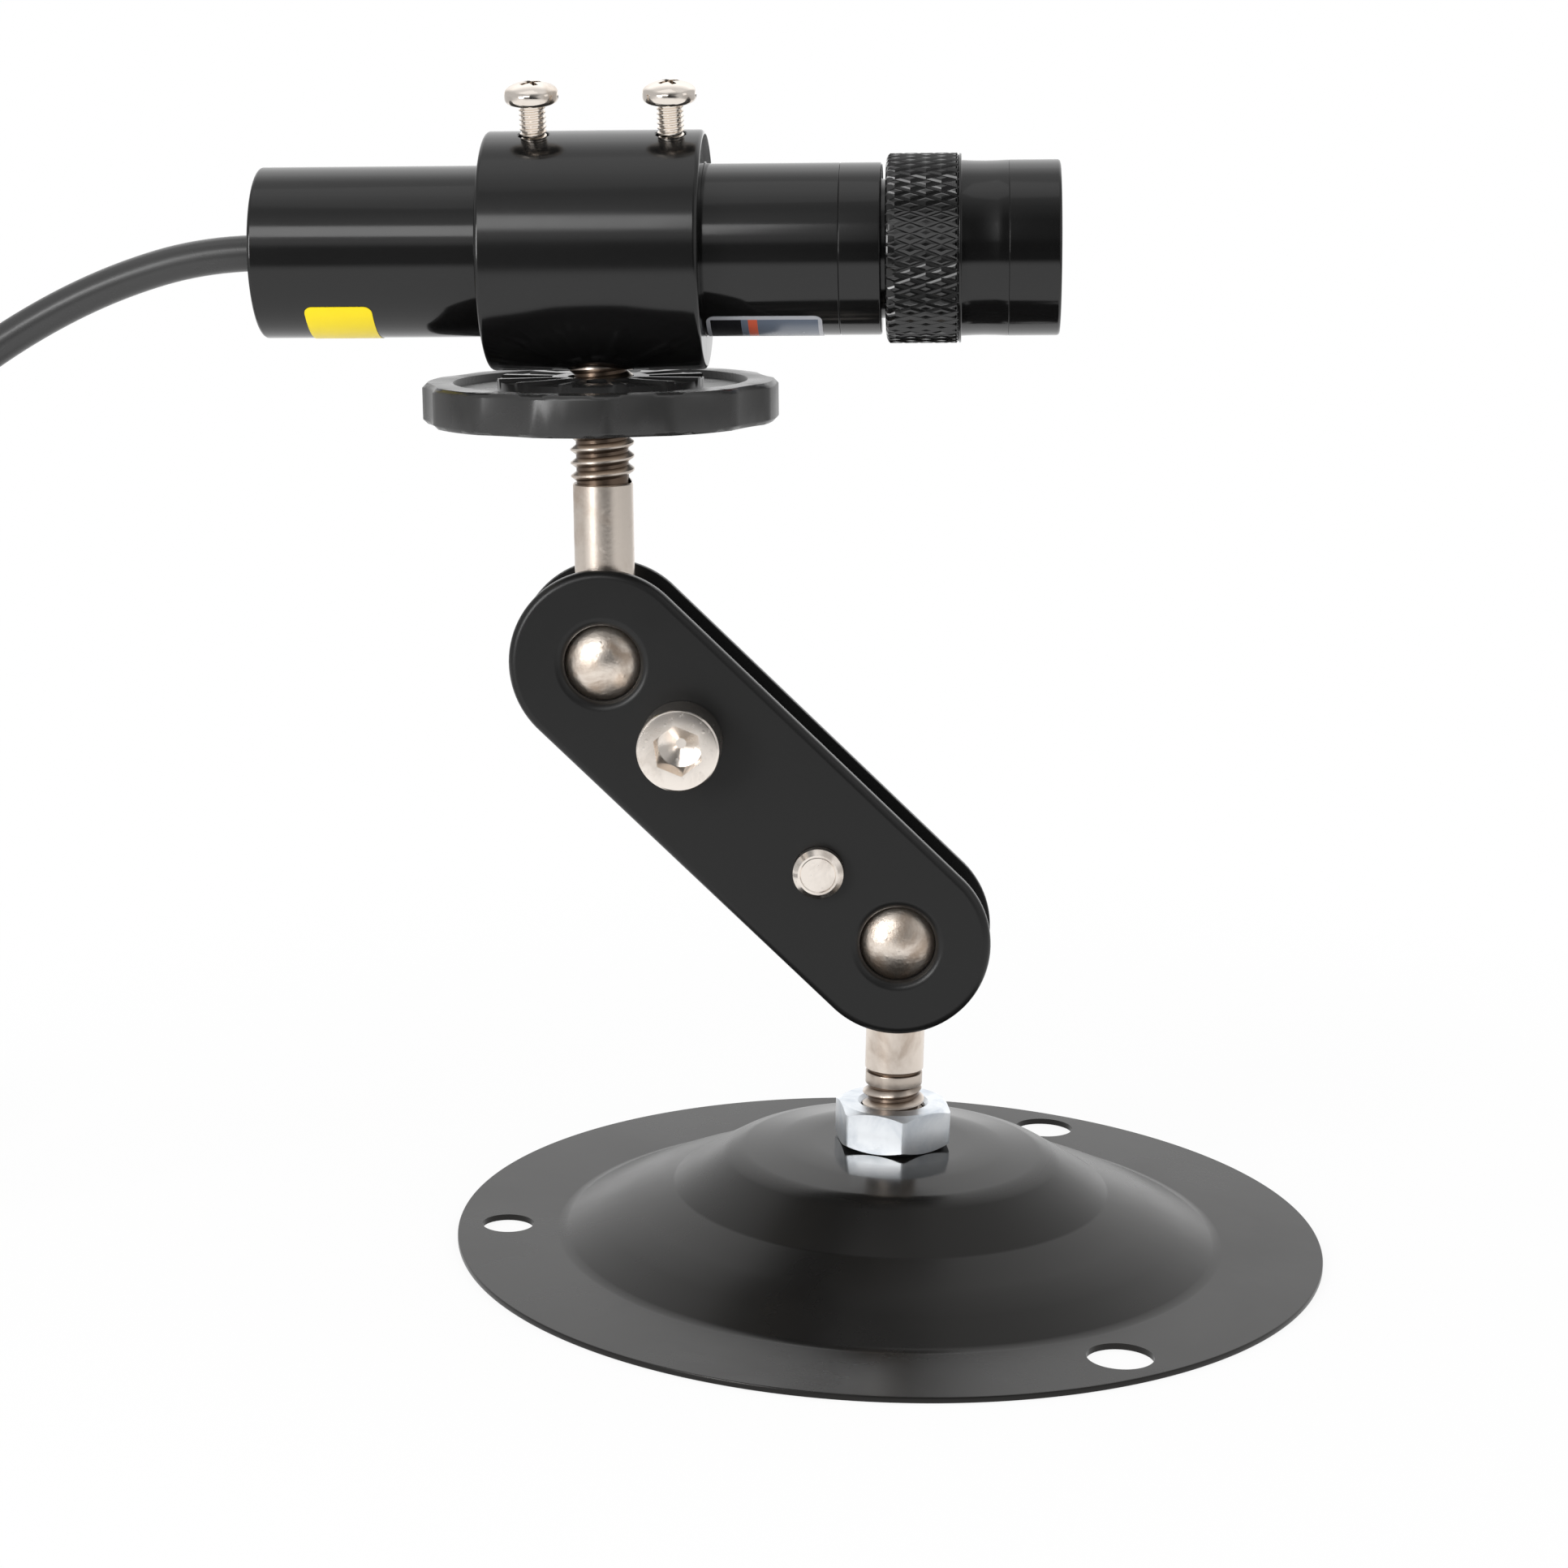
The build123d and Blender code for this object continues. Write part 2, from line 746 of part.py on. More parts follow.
with BuildPart() as driver_board:
    with BuildSketch(board_plane):
        with Locations((mount_start - board_length / 2, 0)):
            Rectangle(board_length, 2 * board_half_width)
    extrude(amount=-board_thickness)
finish(driver_board, "driver_board")

with BuildPart() as regulator_chip:
    with BuildSketch(board_plane.offset(chip_leg_height / 2)):
        with Locations((chip_station, 0)):
            Rectangle(chip_length, chip_width)
    extrude(amount=chip_height)
    with BuildSketch(board_plane):
        with Locations((chip_station, 0)):
            with GridLocations(chip_leg_pitch, chip_width + chip_leg_length, 4, 2):
                Rectangle(chip_leg_width, chip_leg_length + 2 * chip_leg_height)
    extrude(amount=chip_leg_height)
finish(regulator_chip, "regulator_chip")

with BuildPart() as filter_capacitor:
    with BuildSketch(board_plane):
        with Locations((capacitor_station, 0)):
            Circle(capacitor_radius)
    extrude(amount=capacitor_height)
    fillet(filter_capacitor.faces().sort_by(Axis.Z)[-1].edges(), 0.3)
finish(filter_capacitor, "filter_capacitor")

with BuildPart() as current_trimmer:
    with BuildSketch(board_plane):
        with Locations((trimmer_station, 0)):
            Rectangle(trimmer_size, trimmer_size)
    extrude(amount=trimmer_height)
    with BuildSketch(board_plane.offset(trimmer_height)):
        with Locations((trimmer_station, 0)):
            Rectangle(2 * trimmer_screw_radius, trimmer_slot_width)
    extrude(amount=-trimmer_slot_depth, mode=Mode.SUBTRACT)
finish(current_trimmer, "current_trimmer")

# Lead: its end in the housing, with two wires that run onto the board
wire_height = board_top + wire_radius
with BuildPart() as lead_wires:
    with BuildSketch(module_plane.offset(jacket_end)):
        with Locations((-wire_spread, wire_height), (wire_spread, wire_height)):
            Circle(wire_radius)
    extrude(amount=wire_length)
finish(lead_wires, "lead_wires")

with BuildPart() as lead_jacket_end:
    with BuildSketch(module_plane.offset(module_rear)):
        Circle(lead_radius)
    extrude(amount=jacket_end - module_rear)
finish(lead_jacket_end, "lead_jacket_end")


def wrapped_label(start, width, top):
    """A thin label wrapped on the housing's lower front, from an angle above the front."""
    edge_way = Vector(towards_front) * math.cos(math.radians(top)) + stud_way * math.sin(
        math.radians(top))
    section = Plane(module_origin, x_dir=module_way, z_dir=module_way.cross(edge_way))
    with BuildPart() as label:
        revolve(
            tube_outline(
                section, start, start + width, module_radius, module_radius + label_thickness),
            axis=module_axis, revolution_arc=label_wrap)
    return label


yellow_label = wrapped_label(yellow_label_start, yellow_label_width, yellow_label_top)
finish(yellow_label, "yellow_label")
front_label = wrapped_label(front_label_start, front_label_width, front_label_top)
finish(front_label, "front_label")

# Lead outside the housing: down behind the module, then along the floor into its coil
coil_turn_height = lead_radius + lead_clearance
coil_top_turn_height = coil_turn_height + (coil_layers - 1) * 2 * lead_radius
coil_entry_x = coil_centre_x + coil_outer_turn
coil_exit_x = coil_centre_x - coil_outer_turn
coil_wall = lead_radius + 2 * lead_clearance
stub_end_y = coil_centre_y - coil_stub
lead_exit = module_origin + module_way * module_rear
lead_route = [
    lead_exit,
    lead_exit - module_way * 5.4,
    Vector(-76.8, 0, 92.2),
    Vector(-85.5, -0.5, 87.6),
    Vector(-93.5, -2, 81.6),
    Vector(-99.0, -7.4, 71.2),
    Vector(-102.4, -14.4, 58.7),
    Vector(-104.3, -21.0, 45.3),
    Vector(-105.1, -25.0, 32.0),
    Vector(-105.3, -26.3, 19.9),
    Vector(-105.2, -23.2, 11.5),
    Vector(-105.1, -16.8, 5.1),
    Vector(coil_entry_x, -8.5, coil_turn_height),
    Vector(coil_entry_x, stub_end_y, coil_turn_height),
]


def corner_radii(route):
    """The radius of the arc at each corner of a route."""
    radii = []
    for before, corner, after in zip(route, route[1:], route[2:]):
        first = corner - before
        second = after - corner
        half_turn = math.radians(first.get_angle(second) / 2)
        radii.append(0.45 * min(first.length, second.length) / math.tan(half_turn))
    return radii


lead_radii = corner_radii(lead_route)
print("lead corner radii", [round(radius, 1) for radius in lead_radii])

with BuildPart() as power_lead:
    with BuildLine() as lead_line:
        FilletPolyline(*lead_route, radius=lead_radii)
    with BuildSketch(Plane(lead_line.line @ 0, z_dir=lead_line.line % 0)):
        Circle(lead_radius)
    sweep()
lead_length = lead_line.wire().length
lead_volume = math.pi * lead_radius**2 * lead_length
print("lead length", round(lead_length, 1), "volume", round(power_lead.part.volume, 1),
      "expected", round(lead_volume, 1))
finish(power_lead, "power_lead")

coil_section = Plane((coil_centre_x, coil_centre_y, 0), x_dir=(1, 0, 0), z_dir=towards_front)
with BuildPart() as lead_coil:
    revolve(
        tube_outline(
            coil_section, coil_inner_turn - coil_wall, coil_outer_turn + coil_wall,
            0, coil_top_turn_height + coil_wall),
        axis=Axis((coil_centre_x, coil_centre_y, 0), (0, 0, 1)))
    fillet(lead_coil.edges().filter_by(GeomType.CIRCLE), lead_radius / 2)
    with BuildSketch(Plane.XZ.offset(-coil_centre_y)):
        with Locations((coil_entry_x, coil_turn_height), (coil_exit_x, coil_top_turn_height)):
            Circle(lead_radius)
    extrude(amount=coil_stub)
finish(lead_coil, "lead_coil")

# Barrel plug on the lead's far end
relief_end = plug_relief_length
plug_face = plug_relief_length + plug_body_length
plug_section = Plane(
    (coil_exit_x, stub_end_y, coil_top_turn_height), x_dir=(0, -1, 0), z_dir=(1, 0, 0))
plug_axis = Axis((coil_exit_x, stub_end_y, coil_top_turn_height), (0, -1, 0))

with BuildPart() as plug_body:
    revolve(
        outline(plug_section, [
            (0, 0), (0, lead_radius), (relief_end, plug_relief_radius),
            (relief_end, plug_body_radius - plug_body_edge),
            (relief_end + plug_body_edge, plug_body_radius),
            (plug_face - plug_body_edge, plug_body_radius),
            (plug_face, plug_body_radius - plug_body_edge), (plug_face, 0),
        ]),
        axis=plug_axis)
finish(plug_body, "plug_body")

with BuildPart() as plug_barrel:
    revolve(
        tube_outline(
            plug_section, plug_face, plug_face + plug_barrel_length,
            plug_bore_radius, plug_barrel_radius),
        axis=plug_axis)
finish(plug_barrel, "plug_barrel")
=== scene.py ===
import json
import math

import bmesh
import bpy
from mathutils import Matrix, Vector


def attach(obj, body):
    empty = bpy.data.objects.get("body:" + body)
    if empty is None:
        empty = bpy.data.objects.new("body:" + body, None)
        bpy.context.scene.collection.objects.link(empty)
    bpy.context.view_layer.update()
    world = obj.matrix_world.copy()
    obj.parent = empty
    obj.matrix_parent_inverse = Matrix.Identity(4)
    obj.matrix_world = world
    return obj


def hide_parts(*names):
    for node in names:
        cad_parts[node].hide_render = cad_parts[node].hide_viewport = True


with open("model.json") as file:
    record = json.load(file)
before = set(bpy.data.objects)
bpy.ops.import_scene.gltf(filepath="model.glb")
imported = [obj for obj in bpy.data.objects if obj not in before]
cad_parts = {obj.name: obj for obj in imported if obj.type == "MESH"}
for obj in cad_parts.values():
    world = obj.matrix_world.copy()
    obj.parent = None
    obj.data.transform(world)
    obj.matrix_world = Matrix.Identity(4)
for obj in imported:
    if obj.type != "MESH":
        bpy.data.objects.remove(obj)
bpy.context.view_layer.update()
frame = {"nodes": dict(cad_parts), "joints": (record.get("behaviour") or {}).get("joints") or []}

# Shapes are drawn in millimetres on their own axes, then scaled and put in place
millimetre = 0.001
micrometre = 0.000001
past = 1.0  # how far a cutter reaches past the face that it opens
hair = 0.01  # for picking corners, and for shapes that must not share a face
weld = 0.0002  # corners of a turned shape that are nearer than this become one
joints = {joint["name"]: joint for joint in frame["joints"]}
lowerBall = Vector(joints["post_turn"]["pos_m"])
upperBall = Vector(joints["head_tilt"]["pos_m"])
studWay = Vector(joints["head_turn"]["axis"])
moduleOrigin = Vector(joints["module_roll"]["pos_m"])
moduleWay = Vector(joints["module_roll"]["axis"])
armWay = (upperBall - lowerBall).normalized()
rightWay = Vector((1, 0, 0))
frontWay = Vector((0, -1, 0))
upWay = Vector((0, 0, 1))
print("frame loaded")


def placeAt(origin, xWay, zWay):
    turn = Matrix((xWay, zWay.cross(xWay), zWay)).transposed().to_4x4()
    return Matrix.Translation(origin) @ turn @ Matrix.Scale(millimetre, 4)


def addObject(name, data):
    thing = bpy.data.objects.new(name, data)
    bpy.context.scene.collection.objects.link(thing)
    return thing


basePlace = placeAt(Vector(), rightWay, upWay)
lowerStudPlace = placeAt(lowerBall, rightWay, -upWay)
upperStudPlace = placeAt(upperBall, moduleWay, studWay)
armPlace = placeAt(lowerBall, armWay, frontWay)
modulePlace = placeAt(moduleOrigin, studWay, moduleWay)  # x is up and y towards the front

# Camera, fitted to the photograph
view = {
    "place": (0.003343, -0.308393, 0.111855),
    "yaw": 2.77,
    "pitch": 12.107,
    "roll": 1.381,
    "focalPixels": 4000,
    "framePixels": 1932,
    "sensor": 36,
    "nearest": 0.01,
}


def addCamera():
    yaw = math.radians(view["yaw"])
    pitch = math.radians(view["pitch"])
    roll = math.radians(view["roll"])
    forward = Vector((
        -math.sin(yaw) * math.cos(pitch),
        math.cos(yaw) * math.cos(pitch),
        -math.sin(pitch)))
    level = Vector((math.cos(yaw), math.sin(yaw), 0))
    above = level.cross(forward)
    across = level * math.cos(roll) + above * math.sin(roll)
    upright = above * math.cos(roll) - level * math.sin(roll)
    lens = bpy.data.cameras.new("camera")
    lens.sensor_width = view["sensor"]
    lens.lens = view["focalPixels"] / view["framePixels"] * view["sensor"]
    lens.clip_start = view["nearest"]
    camera = addObject("camera", lens)
    turn = Matrix((across, upright, -forward)).transposed().to_4x4()
    camera.matrix_world = Matrix.Translation(Vector(view["place"])) @ turn
    bpy.context.scene.camera = camera


addCamera()
bpy.context.scene.view_settings.view_transform = "Standard"
print("camera set")


# Shader nodes: a few short ways to add and join them
def addNode(tree, kind, **settings):
    node = tree.nodes.new(kind)
    for key, value in settings.items():
        setattr(node, key, value)
    return node


def feed(tree, source, socket):
    if isinstance(source, bpy.types.NodeSocket):
        tree.links.new(source, socket)
    else:
        socket.default_value = source


def mathNode(tree, operation, *values):
    node = addNode(tree, "ShaderNodeMath", operation=operation)
    for value, socket in zip(values, node.inputs):
        feed(tree, value, socket)
    return node.outputs[0]


def mapRange(tree, value, low, high, newLow, newHigh, smooth=False):
    node = addNode(tree, "ShaderNodeMapRange")
    if smooth:
        node.interpolation_type = "SMOOTHSTEP"
    for source, socket in zip((value, low, high, newLow, newHigh), node.inputs):
        feed(tree, source, socket)
    return node.outputs[0]


def mixColour(tree, factor, first, second):
    node = addNode(tree, "ShaderNodeMix", data_type="RGBA")  # colours go in at 6 and 7, out at 2
    feed(tree, factor, node.inputs["Factor"])
    feed(tree, first, node.inputs[6])
    feed(tree, second, node.inputs[7])
    return node.outputs[2]


def mixValue(tree, factor, first, second):
    return mathNode(tree, "MULTIPLY_ADD", factor, mathNode(tree, "SUBTRACT", second, first), first)


def mixShaders(tree, factor, first, second):
    node = addNode(tree, "ShaderNodeMixShader")
    for source, socket in zip((factor, first, second), node.inputs):
        tree.links.new(source, socket)
    return node.outputs[0]


def splitAxes(tree, vector):
    node = addNode(tree, "ShaderNodeSeparateXYZ")
    feed(tree, vector, node.inputs[0])
    return node.outputs


def placeFrom(tree, coordinates):
    return addNode(tree, "ShaderNodeTexCoord").outputs[coordinates]


def noise(tree, vector, scale, detail=3.0, roughness=0.5, distortion=0.0):
    node = addNode(tree, "ShaderNodeTexNoise")
    feed(tree, vector, node.inputs["Vector"])
    feed(tree, scale, node.inputs["Scale"])
    node.inputs["Detail"].default_value = detail
    node.inputs["Roughness"].default_value = roughness
    node.inputs["Distortion"].default_value = distortion
    return node.outputs["Fac"]


def bump(tree, height, strength, depth, normal=None):
    node = addNode(tree, "ShaderNodeBump")
    feed(tree, height, node.inputs["Height"])
    node.inputs["Strength"].default_value = strength
    node.inputs["Distance"].default_value = depth * micrometre
    if normal is not None:
        feed(tree, normal, node.inputs["Normal"])
    return node.outputs["Normal"]


def newGroup(name, inputs, outputs):
    group = bpy.data.node_groups.new(name, "ShaderNodeTree")
    for label, kind, value in inputs:
        socket = group.interface.new_socket(label, in_out="INPUT", socket_type=kind)
        if value is not None:
            socket.default_value = value
    for label in outputs:
        group.interface.new_socket(label, in_out="OUTPUT", socket_type="NodeSocketFloat")
    entry = group.nodes.new("NodeGroupInput")
    leave = group.nodes.new("NodeGroupOutput")
    return group, entry.outputs, leave.inputs


def useGroup(tree, group, vector, **values):
    node = addNode(tree, "ShaderNodeGroup", node_tree=group)
    feed(tree, vector, node.inputs["Vector"])
    for label, value in values.items():
        feed(tree, value, node.inputs[label])
    return node.outputs


# Grain: a fine pimpled height and broad soft patches
def makeGrain():
    group, given, result = newGroup(
        "grain",
        [("Vector", "NodeSocketVector", None), ("Fine", "NodeSocketFloat", 4000.0),
         ("Broad", "NodeSocketFloat", 60.0)],
        ["Height", "Patches"])
    fine = noise(group, given["Vector"], given["Fine"], detail=4, roughness=0.6)
    broad = noise(group, given["Vector"], given["Broad"], detail=5, roughness=0.6, distortion=0.4)
    feed(group, fine, result["Height"])
    feed(group, broad, result["Patches"])
    return group


# Turned lines: fine rings left by the tool, at each station along an axis
def makeTurnedLines():
    group, given, result = newGroup(
        "turnedLines",
        [("Vector", "NodeSocketVector", None), ("Axis", "NodeSocketVector", (0, 0, 1)),
         ("Spacing", "NodeSocketFloat", 0.0001)],
        ["Height"])
    along = addNode(group, "ShaderNodeVectorMath", operation="DOT_PRODUCT")
    feed(group, given["Vector"], along.inputs[0])
    feed(group, given["Axis"], along.inputs[1])
    rings = addNode(group, "ShaderNodeTexNoise", noise_dimensions="1D")
    feed(group, mathNode(group, "DIVIDE", along.outputs["Value"], given["Spacing"]), rings.inputs["W"])
    rings.inputs["Scale"].default_value = 1
    rings.inputs["Detail"].default_value = 2
    feed(group, rings.outputs["Fac"], result["Height"])
    return group


# Scuffs: thin bright scratches that run one way and fade in places, and small pits
scuffShape = {
    "fadeScale": 700.0,
    "turn": (0.5, 0.7, 0.3),
    "stretch": (1, 0.12, 1),
    "scratchEdges": (0.60, 0.68),
    "pitEdges": (0.05, 0.22),
}


def makeScuffs():
    group, given, result = newGroup(
        "scuffs",
        [("Vector", "NodeSocketVector", None), ("Scale", "NodeSocketFloat", 900.0)],
        ["Scratches", "Pits"])
    fading = noise(group, given["Vector"], scuffShape["fadeScale"], detail=2)
    drawn = addNode(group, "ShaderNodeMapping")
    feed(group, given["Vector"], drawn.inputs["Vector"])
    drawn.inputs["Rotation"].default_value = scuffShape["turn"]
    drawn.inputs["Scale"].default_value = scuffShape["stretch"]
    lines = noise(group, drawn.outputs["Vector"], given["Scale"], detail=3, roughness=0.7)
    thin = mapRange(group, lines, *scuffShape["scratchEdges"], 0.0, 1.0, smooth=True)
    feed(group, mathNode(group, "MULTIPLY", thin, fading), result["Scratches"])
    spots = addNode(group, "ShaderNodeTexVoronoi")
    feed(group, given["Vector"], spots.inputs["Vector"])
    feed(group, given["Scale"], spots.inputs["Scale"])
    pits = mapRange(group, spots.outputs["Distance"], *scuffShape["pitEdges"], 1.0, 0.0, smooth=True)
    feed(group, pits, result["Pits"])
    return group


grainGroup = makeGrain()
turnedLinesGroup = makeTurnedLines()
scuffsGroup = makeScuffs()
patchEdges = (0.3, 0.7)  # between these the broad patches go from one end of a range to the other


def newMaterial(name, **settings):
    material = bpy.data.materials.new(name)
    material.use_nodes = True
    tree = material.node_tree
    shader = tree.nodes["Principled BSDF"]
    for label, value in settings.items():
        shader.inputs[label].default_value = value
    return material, tree, shader.inputs, placeFrom(tree, "Object")


def grey(value, warm=0.0):
    return (value * (1 + warm), value, value * (1 - warm), 1)


# In every finish, fine and broad are counts in a metre, depths are in micrometres and spacings in
# millimetres, and sheen is the roughness from the smoothest patch to the dullest.
# Coated, moulded and extruded surfaces: patches vary the sheen and the tone a little
def coated(name, colour, sheen, fine, fineDepth, broad=70.0, lift=0.25, ringWay=None, ringSpacing=0.1,
           ringDepth=0.0, **settings):
    material, tree, sockets, place = newMaterial(name, **settings)
    grain = useGroup(tree, grainGroup, place, Fine=fine, Broad=broad)
    lifted = tuple(min(1, part * (1 + lift)) for part in colour[:3]) + (1,)
    feed(tree, mixColour(tree, grain["Patches"], colour, lifted), sockets["Base Color"])
    feed(tree, mapRange(tree, grain["Patches"], *patchEdges, *sheen), sockets["Roughness"])
    normal = bump(tree, grain["Height"], 1.0, fineDepth)
    if ringWay is not None:
        rings = useGroup(tree, turnedLinesGroup, place, Axis=ringWay, Spacing=ringSpacing * millimetre)
        normal = bump(tree, rings["Height"], 1.0, ringDepth, normal)
    feed(tree, normal, sockets["Normal"])
    return material


# Plated and turned metals: tarnish in patches, scratches, pits, tool rings, and painted shade that darkens
# the thread valleys
metal = {
    # painted shade: the dark brown laid into the studs' thread valleys
    "paintedThreadShade": (0.16, 0.115, 0.085, 1),
    "fine": 2600.0,
    "broad": 240.0,
    "scuffs": 1100.0,
    "scratchRoughness": 0.12,
    "pitStrength": 0.35,
}


def plated(name, bright, dull, sheen, pitDepth=10.0, ringWay=upWay, ringSpacing=0.12, ringDepth=0.4,
           tarnish=(0.45, 0.75), mottle=0.0):
    material, tree, sockets, place = newMaterial(name, Metallic=1.0)
    grain = useGroup(tree, grainGroup, place, Fine=metal["fine"], Broad=metal["broad"])
    scuffs = useGroup(tree, scuffsGroup, place, Scale=metal["scuffs"])
    rings = useGroup(tree, turnedLinesGroup, place, Axis=ringWay, Spacing=ringSpacing * millimetre)
    worn = mapRange(tree, grain["Patches"], *tarnish, 0.0, 1.0, smooth=True)
    # Painted shade: a per-corner value, set only on the studs, darkens their thread valleys
    paintedThreadShade = addNode(tree, "ShaderNodeAttribute", attribute_name="paintedThreadShade").outputs["Fac"]
    colour = mixColour(tree, worn, bright, dull)
    feed(tree, mixColour(tree, paintedThreadShade, colour, metal["paintedThreadShade"]), sockets["Base Color"])
    scratched = mathNode(tree, "MULTIPLY", scuffs["Scratches"], metal["scratchRoughness"])
    rough = mathNode(tree, "ADD", mapRange(tree, worn, 0.0, 1.0, *sheen), scratched)
    feed(tree, rough, sockets["Roughness"])
    normal = bump(tree, rings["Height"], 1.0, ringDepth)
    normal = bump(tree, scuffs["Pits"], metal["pitStrength"], pitDepth, normal)
    if mottle:
        normal = bump(tree, grain["Height"], 1.0, mottle, normal)
    feed(tree, normal, sockets["Normal"])
    return material


# Glass: clear, with a faint smear here and there
glass = {
    "fine": 1500.0,
    "broad": 200.0,
    "smearEdges": (0.4, 0.8),
    "sheen": (0.0, 0.04),
}


def clear(name, tint, **settings):
    material, tree, sockets, place = newMaterial(name, **settings)
    sockets["Base Color"].default_value = tint
    sockets["Transmission Weight"].default_value = 1
    grain = useGroup(tree, grainGroup, place, Fine=glass["fine"], Broad=glass["broad"])
    smear = mapRange(tree, grain["Patches"], *glass["smearEdges"], *glass["sheen"])
    feed(tree, smear, sockets["Roughness"])
    return material


# The base's paint: its flat top, seen at a low angle, mirrors more sharply than its slopes
basePolish = {
    "tint": (1, 0.98, 0.955, 1),
    "heights": (0.0086, 0.0097),
    "share": 0.5,
}


def makeBasePaint():
    material = coated("basePaint", grey(0.004, 0.05), (0.25, 0.33), fine=5200, fineDepth=1.0, broad=45,
                      lift=0.35, ringWay=upWay, ringSpacing=0.08, ringDepth=0.2, IOR=1.37)
    tree = material.node_tree
    sockets = tree.nodes["Principled BSDF"].inputs
    sockets["Specular Tint"].default_value = basePolish["tint"]
    height = splitAxes(tree, placeFrom(tree, "Object"))["Z"]
    share = mapRange(tree, height, *basePolish["heights"], 1.0, basePolish["share"], smooth=True)
    rough = sockets["Roughness"].links[0].from_socket
    feed(tree, mathNode(tree, "MULTIPLY", rough, share), sockets["Roughness"])
    return material


# What the turned and anodised pieces share
turnedBlack = {
    "fine": 6000,
    "broad": 90,
    "lift": 0.3,
    "ringWay": moduleWay,
    "ringSpacing": 0.09,
    "ringDepth": 0.2,
}
basePaint = makeBasePaint()
armPaint = coated("armPaint", grey(0.0078), (0.28, 0.35), fine=5200, fineDepth=1.6, broad=60, IOR=1.39)
anodised = coated("anodised", grey(0.0042), (0.09, 0.14), fineDepth=0.3, **turnedBlack)
collarBlack = coated("collarBlack", grey(0.0042), (0.13, 0.18), fineDepth=0.4, **turnedBlack)
knurlBlack = coated("knurlBlack", grey(0.0045), (0.08, 0.13), fine=6000, fineDepth=0.4, broad=90, lift=0.3,
                    IOR=1.68)
discPlastic = coated("discPlastic", grey(0.02, 0.01), (0.24, 0.32), fine=2200, fineDepth=2.0, broad=110,
                     lift=0.35)
jacket = coated("jacket", grey(0.032), (0.24, 0.30), fine=2500, fineDepth=2.0, broad=90, lift=0.2)
plugPlastic = coated("plugPlastic", grey(0.014), (0.33, 0.42), fine=3500, fineDepth=3.0, broad=90, lift=0.3)
chipPlastic = coated("chipPlastic", grey(0.02), (0.45, 0.55), fine=6000, fineDepth=3.0)
trimmerPlastic = coated("trimmerPlastic", (0.03, 0.1, 0.4, 1), (0.3, 0.4), fine=3000, fineDepth=2.0)
wirePlastic = coated("wirePlastic", (0.5, 0.02, 0.02, 1), (0.3, 0.4), fine=3000, fineDepth=2.0)
laminate = coated("laminate", (0.02, 0.16, 0.05, 1), (0.3, 0.42), fine=4000, fineDepth=3.0)
sleeveFilm = coated("sleeveFilm", (0.03, 0.03, 0.07, 1), (0.2, 0.3), fine=2000, fineDepth=2.0)
nickel = plated("nickel", (0.80, 0.715, 0.635, 1), (0.58, 0.48, 0.40, 1), (0.28, 0.36), pitDepth=6.0,
                mottle=10.0)
ballNickel = plated("ballNickel", (0.84, 0.755, 0.67, 1), (0.50, 0.40, 0.32, 1), (0.3, 0.42), pitDepth=30.0,
                    tarnish=(0.42, 0.64), mottle=30.0)
screwNickel = plated("screwNickel", (0.86, 0.79, 0.72, 1), (0.62, 0.52, 0.43, 1), (0.1, 0.2), pitDepth=6.0)
boltSteel = plated("boltSteel", (0.93, 0.86, 0.79, 1), (0.68, 0.60, 0.53, 1), (0.22, 0.32),
                   ringWay=frontWay, ringSpacing=0.06, ringDepth=0.7)
zinc = plated("zinc", (0.88, 0.91, 0.94, 1), (0.62, 0.67, 0.73, 1), (0.3, 0.38),
              ringWay=Vector((0.9, 0.44, 0)), ringSpacing=0.3, ringDepth=6.0, tarnish=(0.4, 0.75))
brass = plated("brass", (0.80, 0.62, 0.30, 1), (0.58, 0.42, 0.18, 1), (0.18, 0.3), pitDepth=8.0,
               ringWay=moduleWay)
springSteel = plated("springSteel", (0.45, 0.45, 0.47, 1), (0.3, 0.29, 0.28, 1), (0.2, 0.3), pitDepth=8.0)
canMetal = plated("canMetal", (0.78, 0.72, 0.55, 1), (0.6, 0.52, 0.38, 1), (0.15, 0.25), pitDepth=6.0,
                  ringWay=moduleWay)
windowGlass = clear("windowGlass", (0.96, 0.98, 1.0, 1), IOR=1.5)
lensGlass = clear("lensGlass", (0.9, 0.95, 1.0, 1), IOR=1.6)

# Label films
yellowFields = {
    "tones": [(0.92, 0.70, 0.004, 1), (0.98, 0.77, 0.012, 1)],
    "fine": 2500.0,
    "fineDepth": 2.0,
    "broad": 300.0,
    "sheen": (0.26, 0.36),
}
greyFields = {
    "border": (0.42, 0.43, 0.46, 1),
    "slate": (0.125, 0.15, 0.195, 1),
    "dark": (0.012, 0.012, 0.014, 1),
    "warm": (0.62, 0.115, 0.06, 1),
    "borderWide": 0.035,
    "borderHigh": 0.045,
    "darkEnd": 0.30,
    "warmStart": 0.36,
    "warmEnd": 0.44,
    "fine": 2500.0,
    "broad": 300.0,
    "sheen": (0.2, 0.3),
}


def makeYellowFilm():
    material, tree, sockets, place = newMaterial("yellowFilm", IOR=1.35)
    grain = useGroup(tree, grainGroup, place, Fine=yellowFields["fine"], Broad=yellowFields["broad"])
    feed(tree, mixColour(tree, grain["Patches"], *yellowFields["tones"]), sockets["Base Color"])
    feed(tree, mapRange(tree, grain["Patches"], *patchEdges, *yellowFields["sheen"]), sockets["Roughness"])
    feed(tree, bump(tree, grain["Height"], 1.0, yellowFields["fineDepth"]), sockets["Normal"])
    return material


